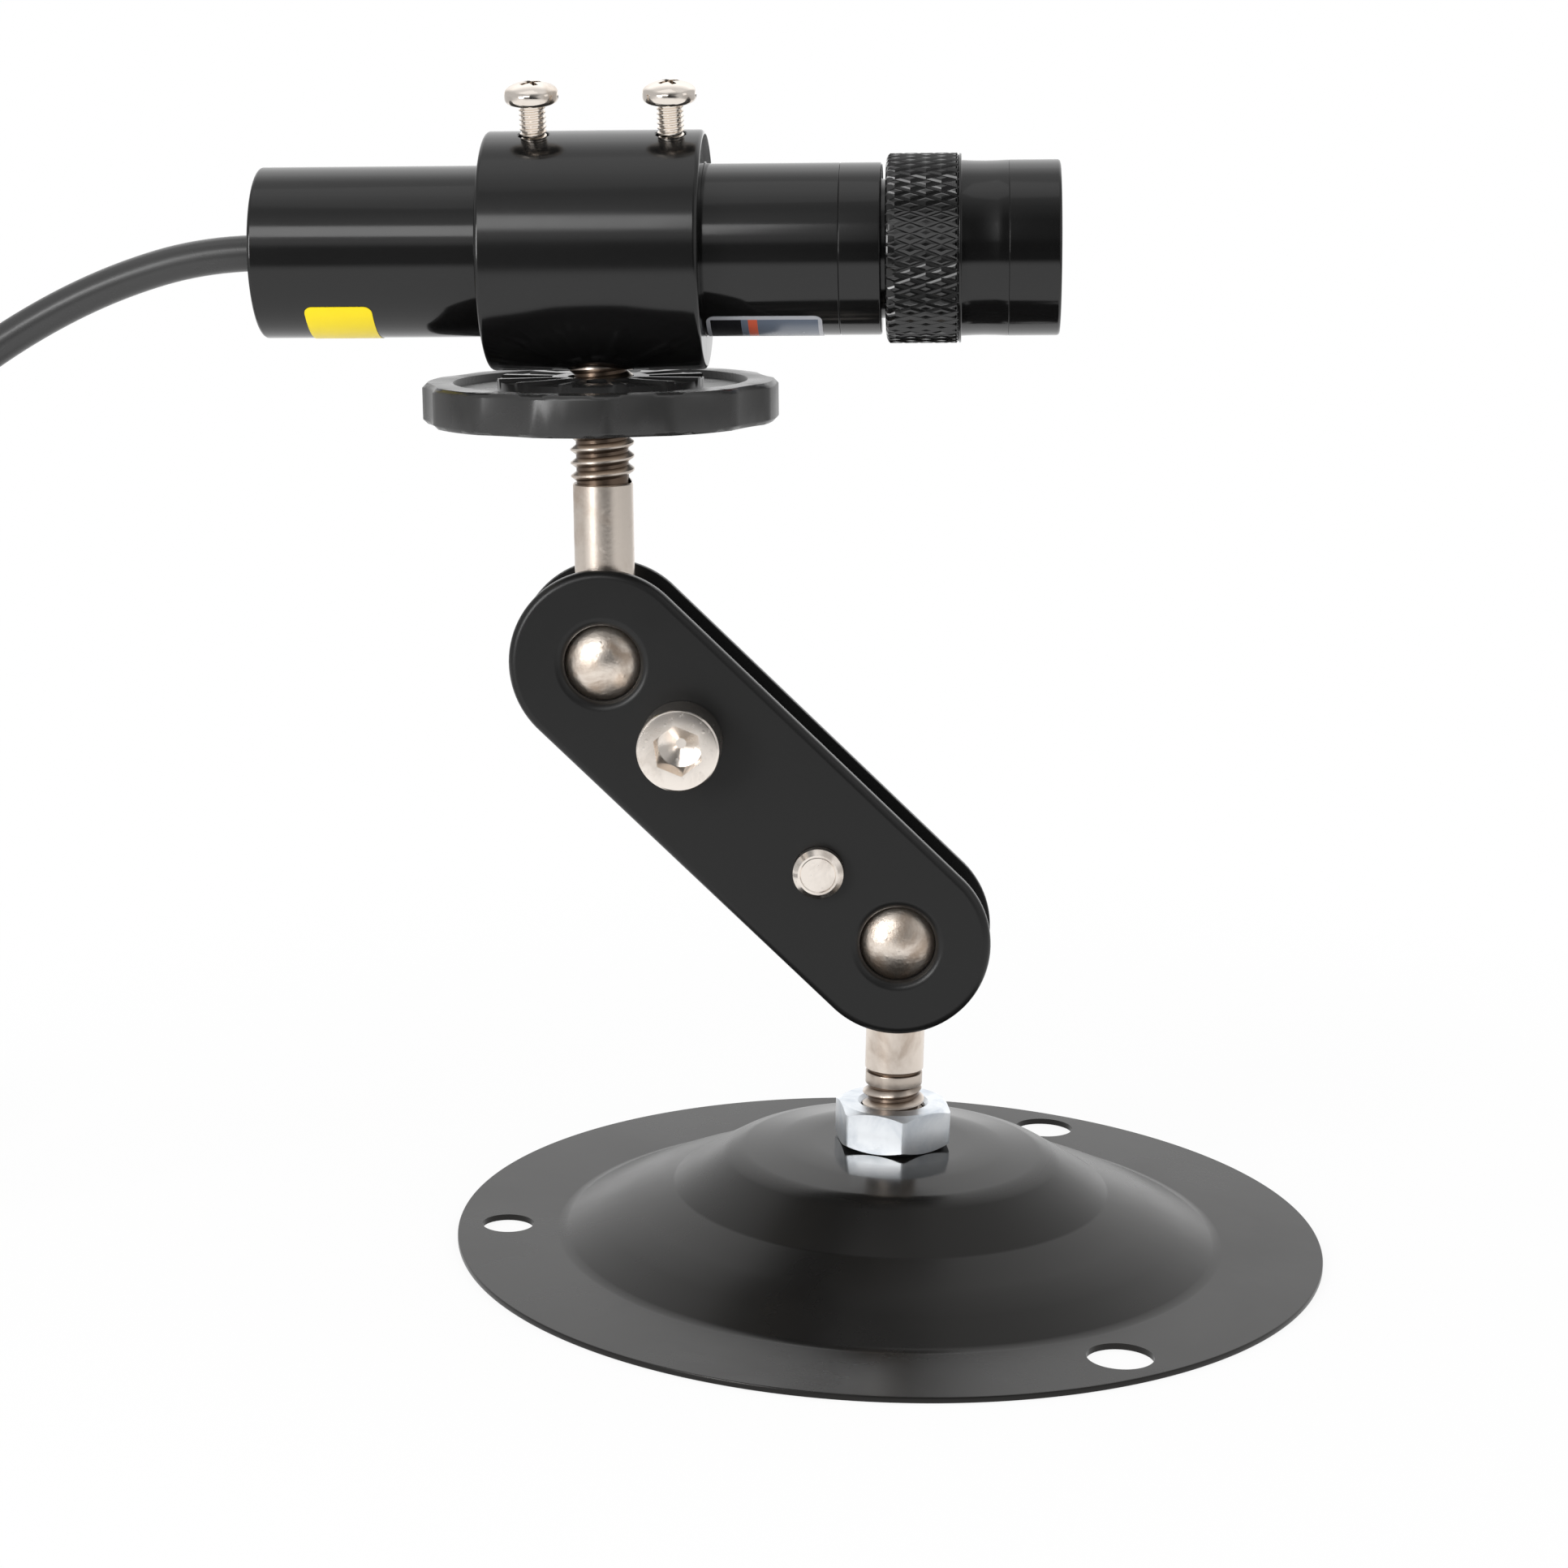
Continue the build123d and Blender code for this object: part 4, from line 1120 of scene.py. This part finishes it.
# Collar screws: crowned head with a cross recess and a fine thread
screw = {
    "tip": 8.1,
    "seat": 14.15,
    "radius": 1.25,
    "root": 1.07,
    "pitch": 0.45,
    "crestShare": 0.2,
    "threadTurnSteps": 28,
    "threadOver": 0.1,
    "headRadius": 2.5,
    "headHeight": 1.9,
    "headSide": 0.95,
    "headUnderEdge": 0.45,
    "crownSteps": 10,
    "roundSteps": 72,
    "crossLength": 2.9,
    "crossWidth": 0.55,
    "crossDepth": 1.1,
    "crossTaper": (0.45, 0.8, 1),
    "crossTurn": 0.6,
}


def addScrew(name, node, station):
    seat, head, root, steps = screw["seat"], screw["headRadius"], screw["root"], screw["crownSteps"]
    top, sideTop = seat + screw["headHeight"], seat + screw["headSide"]
    corners = [(screw["tip"], 0), (screw["tip"], root), (seat, root), (seat, head, screw["headUnderEdge"]),
               (sideTop, head)]
    for step in range(1, steps):
        angle = math.pi / 2 * step / steps
        corners.append((sideTop + (top - sideTop) * math.sin(angle), head * math.cos(angle)))
    bm = turned([*corners, (top, 0)], screw["roundSteps"], closed=False)
    slots = []
    for turn in (0, math.pi / 2):
        slot = block(screw["crossLength"], screw["crossWidth"], 2 * screw["crossDepth"])
        low = [point for point in slot.verts if point.co.z < 0]
        bmesh.ops.scale(slot, verts=low, vec=screw["crossTaper"])
        slot.transform(Matrix.Translation((0, 0, top)) @ Matrix.Rotation(turn + screw["crossTurn"], 4, "Z"))
        slots.append(slot)
    bm = subtract(bm, *slots)
    join(bm, threaded(screw["tip"], seat + screw["threadOver"], root + hair / 2, screw["radius"],
                      screw["pitch"], screw["crestShare"], screw["threadTurnSteps"]))
    place = placeAt(moduleOrigin + moduleWay * station * millimetre, moduleWay, screwWay)
    standFor(addPiece(bm, name, place, screwNickel, sharp=28), "head", "screw_nickel", node)


addScrew("rearCollarScrew", "rear_collar_screw", collar["screwPlaces"][0])
addScrew("frontCollarScrew", "front_collar_screw", collar["screwPlaces"][1])
print("head made")

# Module body: stations along its axis from the stud's axis
module = {
    "radius": 8.0,
    "bore": 6.5,
    "insert": 6.48,
    "rear": -31.8,
    "rearEdge": 0.35,
    "rearInnerEdge": 0.1,
    "housingEnd": 22.9,
    "seam": 0.09,
    "sleeveEnd": 26.8,
    "sleeveEdge": 0.22,
    "spigot": 5.0,
    "sleeveBore": 4.0,
    "sleeveMouth": 4.65,
    "neckRadius": 6.45,
    "neckEnd": 27.15,
    "journal": 6.0,
    "journalEnd": 31.4,
    "plugStart": -31.5,
    "plugEnd": -27.5,
    "plugEdge": 0.12,
    "leadHole": 1.75,
    "leadHoleEdge": 0.3,
}


def addBlack(bm, name, body, node):
    standFor(addPiece(bm, name, modulePlace, anodised), body, "black_anodised", node)


def addModule():
    outside, bore, insert, seam = module["radius"], module["bore"], module["insert"], module["seam"]
    rear, end, spigotStart = module["rear"], module["housingEnd"], module["housingEnd"] - module["spigot"]
    tube = turned([(rear, bore, module["rearInnerEdge"]), (end, bore), (end, outside, seam),
                   (rear, outside, module["rearEdge"])], fineness["wide"])
    addBlack(tube, "housingTube", "module", "housing_tube")
    sleeve = turned([
        (spigotStart, module["sleeveBore"]), (module["journalEnd"], module["sleeveMouth"]),
        (module["journalEnd"], module["journal"]), (module["neckEnd"], module["journal"]),
        (module["neckEnd"], module["neckRadius"]), (module["sleeveEnd"], module["neckRadius"]),
        (module["sleeveEnd"], outside, module["sleeveEdge"]), (end, outside, seam), (end, insert),
        (spigotStart, insert)], fineness["wide"])
    addBlack(sleeve, "frontSleeve", "module", "front_sleeve")
    near, far, hole = module["plugStart"], module["plugEnd"], module["leadHole"]
    plugRing = turned([(near, hole, module["leadHoleEdge"]), (far, hole), (far, insert),
                       (near, insert, module["plugEdge"])], fineness["middle"])
    piece = addPiece(plugRing, "rearPlug", modulePlace, plugPlastic)
    standFor(piece, "module", "plug_plastic", "rear_plug")


addModule()

# Focusing ring: diamond knurl, then a waisted band
ring = {
    "start": 27.2,
    "chamfer": 0.45,
    "chamferBend": 0.3,
    "knurlRadius": 8.8,
    "knurlDepth": 0.2,
    "knurlStart": 27.23,
    "knurlEnd": 34.2,
    "lip": 0.22,
    "lipDrop": 0.03,
    "lipEdges": (0.04, 0.08),
    "diamonds": 53,
    "diamondLength": 2.85,
    "firstRow": 0.2,  # share of a diamond's length by which the first row lies before the knurl
    "facets": [(0.17, 0.125), (0.15, 0.075)],
    "smallestShare": 0.3,
    "weld": 0.01,
    "end": 38.6,
    "endEdge": 0.055,
    "radius": 8.14,
    "waist": 8.07,
    "waistEdge": 0.05,
    "waistShares": (0.25, 0.5, 0.75),
    "bore": 6.05,
    "recess": 6.5,
    "step": 30.3,
    "recessEnd": 31.6,
    "threadBore": 5.3,
    "counterStart": 36.2,
    "counterbore": 6.52,
}


def knurl():
    count, long = ring["diamonds"], ring["diamondLength"]
    root, half = ring["knurlRadius"] - ring["knurlDepth"], math.pi / count
    start, end, rounding = ring["knurlStart"], ring["knurlEnd"] - ring["lip"], ring["chamfer"]
    bm = bmesh.new()
    corners = [(root, 0, -long / 2), (root * math.cos(half), root * math.sin(half), 0), (root, 0, long / 2),
               (root * math.cos(half), -root * math.sin(half), 0)]
    bm.faces.new([bm.verts.new(corner) for corner in corners])
    bmesh.ops.spin(bm, geom=everything(bm), cent=(0, 0, 0), axis=(0, 0, 1), dvec=(0, 0, 0),
                   angle=2 * math.pi, steps=count, use_duplicate=True)
    row = everything(bm)
    for step in range(1, math.ceil(2 * (end - start) / long) + 2):
        points = cornersOf(bmesh.ops.duplicate(bm, geom=row)["geom"])
        bmesh.ops.rotate(bm, verts=points, cent=(0, 0, 0), matrix=Matrix.Rotation(step % 2 * half, 3, "Z"))
        bmesh.ops.translate(bm, verts=points, vec=(0, 0, step * long / 2))
    shiftBy(bm, 0, 0, start - long * ring["firstRow"])
    bmesh.ops.remove_doubles(bm, verts=bm.verts[:], dist=ring["weld"])
    for station, way in ((start, -1), (end, 1)):
        bmesh.ops.bisect_plane(bm, geom=everything(bm), plane_co=(0, 0, station), plane_no=(0, 0, way),
                               clear_outer=True)
    bmesh.ops.recalc_face_normals(bm, faces=bm.faces[:])
    if sum(lookOut(face) for face in bm.faces) < 0:
        bmesh.ops.reverse_faces(bm, faces=bm.faces[:])
    whole = max(face.calc_area() for face in bm.faces)
    slivers = [face for face in bm.faces if face.calc_area() < ring["smallestShare"] * whole]
    bmesh.ops.delete(bm, geom=slivers, context="FACES")
    faces = bm.faces[:]
    for thickness, depth in ring["facets"]:
        bmesh.ops.inset_individual(bm, faces=faces, thickness=thickness, depth=depth, use_even_offset=True)
    for point in bm.verts:
        point.co.z = min(end, max(start, point.co.z))
        short = max(0, ring["start"] + rounding - point.co.z)
        radius = math.hypot(point.co.x, point.co.y)
        share = 1 - (rounding - math.sqrt(max(0, rounding**2 - short**2))) / radius
        point.co.x *= share
        point.co.y *= share
    return bm


def addRing():
    start, end, knurlEnd, radius = ring["start"], ring["end"], ring["knurlEnd"], ring["radius"]
    root = ring["knurlRadius"] - ring["knurlDepth"] + hair / 2
    lipStart, lipTop = knurlEnd - ring["lip"], ring["knurlRadius"] - ring["lipDrop"]
    chamfer = ring["chamfer"]
    bend = ring["chamferBend"] * chamfer
    waisting = radius - ring["waist"]
    lipEdge, lipFrontEdge = ring["lipEdges"]
    band = [(knurlEnd + (end - knurlEnd) * share, radius - waisting * math.sin(math.pi * share))
            for share in ring["waistShares"]]
    body = turned([
        (end, radius, ring["endEdge"]), (end, ring["counterbore"]),
        (ring["counterStart"], ring["counterbore"]),
        (ring["counterStart"], ring["threadBore"]), (ring["recessEnd"], ring["threadBore"]),
        (ring["recessEnd"], ring["recess"]), (ring["step"], ring["recess"]), (ring["step"], ring["bore"]),
        (start, ring["bore"]), (start, root - chamfer), (start + bend, root - bend),
        (start + chamfer, root), (lipStart, root), (lipStart, lipTop, lipEdge),
        (knurlEnd, lipTop, lipFrontEdge), (knurlEnd, radius, ring["waistEdge"]), *band], fineness["wide"])
    addBlack(body, "focusRing", "focus", "focus_ring")
    grip = addPiece(knurl(), "focusRingKnurl", modulePlace, knurlBlack, sharp=8)
    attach(grip, "focus")


addRing()

# Front cap, its window and the ring that holds it
cap = {
    "start": 38.6,
    "startEdge": 0.06,
    "end": 43.4,
    "radius": 8.14,
    "edge": 0.3,
    "innerEdge": 0.15,
    "spigot": 6.5,
    "spigotStart": 36.4,
    "spigotBore": 5.2,
    "spigotFloor": 38.0,
    "aperture": 4.0,
    "windowStart": 41.3,
    "windowEnd": 42.5,
    "windowRadius": 5.0,
    "windowEdge": 0.08,
    "recess": 5.02,
    "retainerEnd": 43.1,
    "retainerEdge": 0.15,
    "notch": (0.7, 12.04, 0.6),
}


def addCap():
    aperture, recess, start, end = cap["aperture"], cap["recess"], cap["start"], cap["end"]
    body = turned([
        (cap["spigotStart"], cap["spigotBore"]), (cap["spigotFloor"], cap["spigotBore"]),
        (cap["spigotFloor"], aperture), (cap["windowStart"], aperture), (cap["windowStart"], recess),
        (end, recess, cap["innerEdge"]), (end, cap["radius"], cap["edge"]),
        (start, cap["radius"], cap["startEdge"]), (start, cap["spigot"]),
        (cap["spigotStart"], cap["spigot"])], fineness["wide"])
    addBlack(body, "frontCap", "focus", "front_cap")
    near, far, radius, edge = cap["windowStart"], cap["windowEnd"], cap["windowRadius"], cap["windowEdge"]
    pane = turned([(near, 0), (near, radius, edge), (far, radius, edge), (far, 0)], closed=False)
    window = addPiece(pane, "frontWindow", modulePlace, windowGlass)
    standFor(window, "focus", "window_glass", "front_window")
    front = cap["retainerEnd"]
    holder = turned([(far, aperture), (front, aperture, cap["retainerEdge"]), (front, radius, edge),
                     (far, radius)], fineness["middle"])
    notch = block(*cap["notch"])
    shiftBy(notch, 0, 0, front)
    addBlack(subtract(holder, notch), "windowRetainer", "focus", "window_retainer")


addCap()

# Labels: thin films with rounded corners, bent round the housing
labels = {
    "yellow": {"name": "yellowLabel", "node": "yellow_label", "slot": "yellow_film", "material": yellowFilm,
               "start": -26.95, "width": 6.35, "top": 126.0},
    "grey": {"name": "frontLabel", "node": "front_label", "slot": "grey_film", "material": greyFilm,
             "start": 10.5, "width": 10.8, "top": 137.0},
    "wrap": 75.0,
    "radius": 8.004,
    "thickness": 0.055,
    "corner": 0.75,
    "strips": 40,
}


def addLabel(label):
    radius, strips, wide = labels["radius"], labels["strips"], label["width"]
    high = radius * math.radians(labels["wrap"])
    bm = bmesh.new()
    corners = ((0, 0, 0), (wide, 0, 0), (wide, high, 0), (0, high, 0))
    outline = bm.faces.new([bm.verts.new(corner) for corner in corners])
    bmesh.ops.bevel(bm, geom=outline.verts[:], offset=labels["corner"], affect="VERTICES", segments=6,
                    profile=0.5, material=-1)
    for strip in range(1, strips):
        bmesh.ops.bisect_plane(bm, geom=everything(bm), plane_co=(0, high * strip / strips, 0),
                               plane_no=(0, 1, 0))
    fields = bm.loops.layers.uv.new("fields")
    for face in bm.faces:
        for corner in face.loops:
            corner[fields].uv = (corner.vert.co.x / wide, corner.vert.co.y / high)
    grown = bmesh.ops.extrude_face_region(bm, geom=bm.faces[:])["geom"]
    bmesh.ops.translate(bm, verts=cornersOf(grown), vec=(0, 0, labels["thickness"]))
    for point in bm.verts:
        angle = math.radians(label["top"]) + point.co.y / radius
        reach = radius + point.co.z
        point.co = (reach * math.cos(angle), reach * math.sin(angle), label["start"] + point.co.x)
    bmesh.ops.recalc_face_normals(bm, faces=bm.faces[:])
    piece = addPiece(bm, label["name"], modulePlace, label["material"])
    standFor(piece, "module", label["slot"], label["node"])


addLabel(labels["yellow"])
addLabel(labels["grey"])
print("module made")

# Solids of the frame that stay as they are
keptMaterials = {
    "inner_washer": zinc, "inner_nut": zinc, "ring_clip": springSteel, "lens_cell": brass,
    "collimator_lens": lensGlass, "lens_retainer": brass, "diode_mount": brass, "laser_diode": canMetal,
    "driver_board": laminate, "regulator_chip": chipPlastic, "filter_capacitor": sleeveFilm,
    "current_trimmer": trimmerPlastic, "lead_wires": wirePlastic, "lead_jacket_end": jacket,
}
for nodeName, material in keptMaterials.items():
    mesh = frame["nodes"][nodeName].data
    mesh.materials.clear()
    mesh.materials.append(material)

# Floor: lit near the part, so that it keeps the shadow, and plain white further off
floor = {
    "halfSize": 3.0,
    "height": -0.00005,
    "colour": grey(0.92),
    "roughness": 0.9,
    "white": 1.0,
    "nearWhite": 0.88,
    "whiteRadius": (0.06, 0.17),
    # The room beyond the paper, as gloss sees it: brightness from far left to far right
    "roomRadius": (0.25, 0.46),
    "room": [(-1, 0.55), (-0.62, 1.0), (-0.38, 0.2), (-0.08, 0.18), (0, 0.03), (0.45, 0.05), (0.75, 0.6),
             (1, 0.5)],
    "behind": [(-1, 0.5), (-0.6, 0.6), (-0.35, 1.0), (0.35, 1.0), (0.6, 0.55), (1, 0.5)],
    "frontEdge": (-0.2, 0.0),
}


# Brightness along a value, from (value, strength) marks
def ramp(tree, value, low, high, marks):
    node = addNode(tree, "ShaderNodeValToRGB")
    feed(tree, mapRange(tree, value, low, high, 0.0, 1.0), node.inputs[0])
    stops = node.color_ramp.elements
    brightest = max(strength for mark, strength in marks)
    for index, (mark, strength) in enumerate(marks):
        share = (mark - low) / (high - low)
        stop = stops[index] if index < 2 else stops.new(share)  # a new ramp has two stops
        stop.position = share
        stop.color = grey(strength / brightest)
    return mathNode(tree, "MULTIPLY", node.outputs["Color"], brightest)


def addFloor():
    bm = bmesh.new()
    bmesh.ops.create_grid(bm, x_segments=1, y_segments=1, size=floor["halfSize"])
    shiftBy(bm, 0, 0, floor["height"])
    material, tree, sockets, place = newMaterial("floorPaper", Roughness=floor["roughness"])
    sockets["Base Color"].default_value = floor["colour"]
    sockets["Specular IOR Level"].default_value = 0
    away = addNode(tree, "ShaderNodeVectorMath", operation="LENGTH")
    feed(tree, place, away.inputs[0])
    radius = away.outputs["Value"]
    whiteness = mapRange(tree, radius, *floor["whiteRadius"], floor["nearWhite"], 1.0, smooth=True)
    axes = splitAxes(tree, place)
    across = mathNode(tree, "DIVIDE", axes["X"], radius)
    depth = mathNode(tree, "DIVIDE", axes["Y"], radius)
    inFront = mapRange(tree, depth, *floor["frontEdge"], 1.0, 0.0, smooth=True)
    behind = ramp(tree, across, -1, 1, floor["behind"])
    room = mixValue(tree, inFront, behind, ramp(tree, across, -1, 1, floor["room"]))
    beyond = mapRange(tree, radius, *floor["roomRadius"], 0.0, 1.0, smooth=True)
    path = addNode(tree, "ShaderNodeLightPath").outputs
    asGloss = mathNode(tree, "MULTIPLY", beyond, path["Is Glossy Ray"])
    shine = addNode(tree, "ShaderNodeEmission")
    feed(tree, mixValue(tree, asGloss, floor["white"], room), shine.inputs["Strength"])
    seen = mathNode(tree, "MAXIMUM", path["Is Camera Ray"], path["Is Glossy Ray"])
    seen = mathNode(tree, "MAXIMUM", seen, path["Is Transmission Ray"])
    paper = tree.nodes["Principled BSDF"].outputs[0]
    mixed = mixShaders(tree, mathNode(tree, "MULTIPLY", seen, whiteness), paper, shine.outputs[0])
    tree.links.new(mixed, tree.nodes["Material Output"].inputs["Surface"])
    mesh = meshOf(bm, "floor")
    mesh.materials.append(material)
    addObject("floor", mesh)


addFloor()

# Light: a plain even sky, white where it is seen, with the room's dark strip in front as gloss sees it
sky = {
    "even": 0.88,
    "white": 1.0,
    # Elevation in degrees, from the front over the top to the back, and strength
    "gloss": [(-30, 1.0), (-14, 0.35), (-8, 0.18), (9, 0.18), (15, 0.8), (24, 0.9), (44, 0.7), (57, 0.5),
              (70, 0.55), (86, 0.8), (112, 0.76), (132, 1.3), (150, 1.2), (165, 1.05), (170, 1.1),
              (175, 1.5), (180, 1.5)],
    # What is left of the front's light, from left to right, and the elevations where the front ends
    "front": [(-0.6, 1.0), (-0.1, 1.0), (-0.05, 0.7), (-0.024, 0.25), (0.01, 0.08), (0.05, 0.05),
              (0.35, 0.25), (0.6, 0.7)],
    "frontEnds": (36, 78),
    "side": 0.55,
    "sideReach": (0.40, 0.70),
}
lamps = {
    "frontSoftbox": {"place": (-0.255, -0.78, 0.555), "aim": (-0.02, 0, 0.09), "size": (0.34, 0.22),
                     "power": 0.72},
    "topSoftbox": {"place": (-0.15, -0.1, 0.95), "aim": (0, 0, 0.03), "size": (0.5, 0.5), "power": 0.2},
    "lowSoftbox": {"place": (-0.38, -0.48, 0.19), "aim": (0, 0, 0.012), "size": (0.2, 0.28), "power": 1.5},
    "sideSoftbox": {"place": (0.75, -0.25, 0.45), "aim": (0, 0, 0.06), "size": (0.25, 0.5), "power": 0.2},
}


def background(tree, strength):
    node = addNode(tree, "ShaderNodeBackground")
    node.inputs["Color"].default_value = grey(1)
    feed(tree, strength, node.inputs["Strength"])
    return node.outputs[0]


def addSky():
    world = bpy.data.worlds.new("sky")
    bpy.context.scene.world = world
    world.use_nodes = True
    tree = world.node_tree
    axes = splitAxes(tree, placeFrom(tree, "Generated"))
    across = axes["X"]
    angle = mathNode(tree, "ARCTAN2", axes["Z"], mathNode(tree, "MULTIPLY", axes["Y"], -1.0))
    elevation = mathNode(tree, "DEGREES", angle)
    facing = mapRange(tree, elevation, *sky["frontEnds"], 1.0, 0.0, smooth=True)
    kept = mixValue(tree, facing, 1.0, ramp(tree, across, -1, 1, sky["front"]))
    middle = mathNode(tree, "MULTIPLY", ramp(tree, elevation, -180, 180, sky["gloss"]), kept)
    sideways = mapRange(tree, mathNode(tree, "ABSOLUTE", across), *sky["sideReach"], 0.0, 1.0, smooth=True)
    gloss = background(tree, mixValue(tree, sideways, middle, sky["side"]))
    path = addNode(tree, "ShaderNodeLightPath").outputs
    byGloss = mixShaders(tree, path["Is Glossy Ray"], background(tree, sky["even"]), gloss)
    seen = mathNode(tree, "MAXIMUM", path["Is Camera Ray"], path["Is Transmission Ray"])
    mixed = mixShaders(tree, seen, byGloss, background(tree, sky["white"]))
    tree.links.new(mixed, tree.nodes["World Output"].inputs["Surface"])


def addLamp(name, lamp):
    light = bpy.data.lights.new(name, "AREA")
    light.shape = "RECTANGLE"
    light.size, light.size_y = lamp["size"]
    light.energy = lamp["power"]
    thing = addObject(name, light)
    thing.location = lamp["place"]
    aim = Vector(lamp["aim"]) - Vector(lamp["place"])
    thing.rotation_euler = aim.to_track_quat("-Z", "Y").to_euler()


addSky()
for lampName, lamp in lamps.items():
    addLamp(lampName, lamp)
print("floor, sky and lamps set")
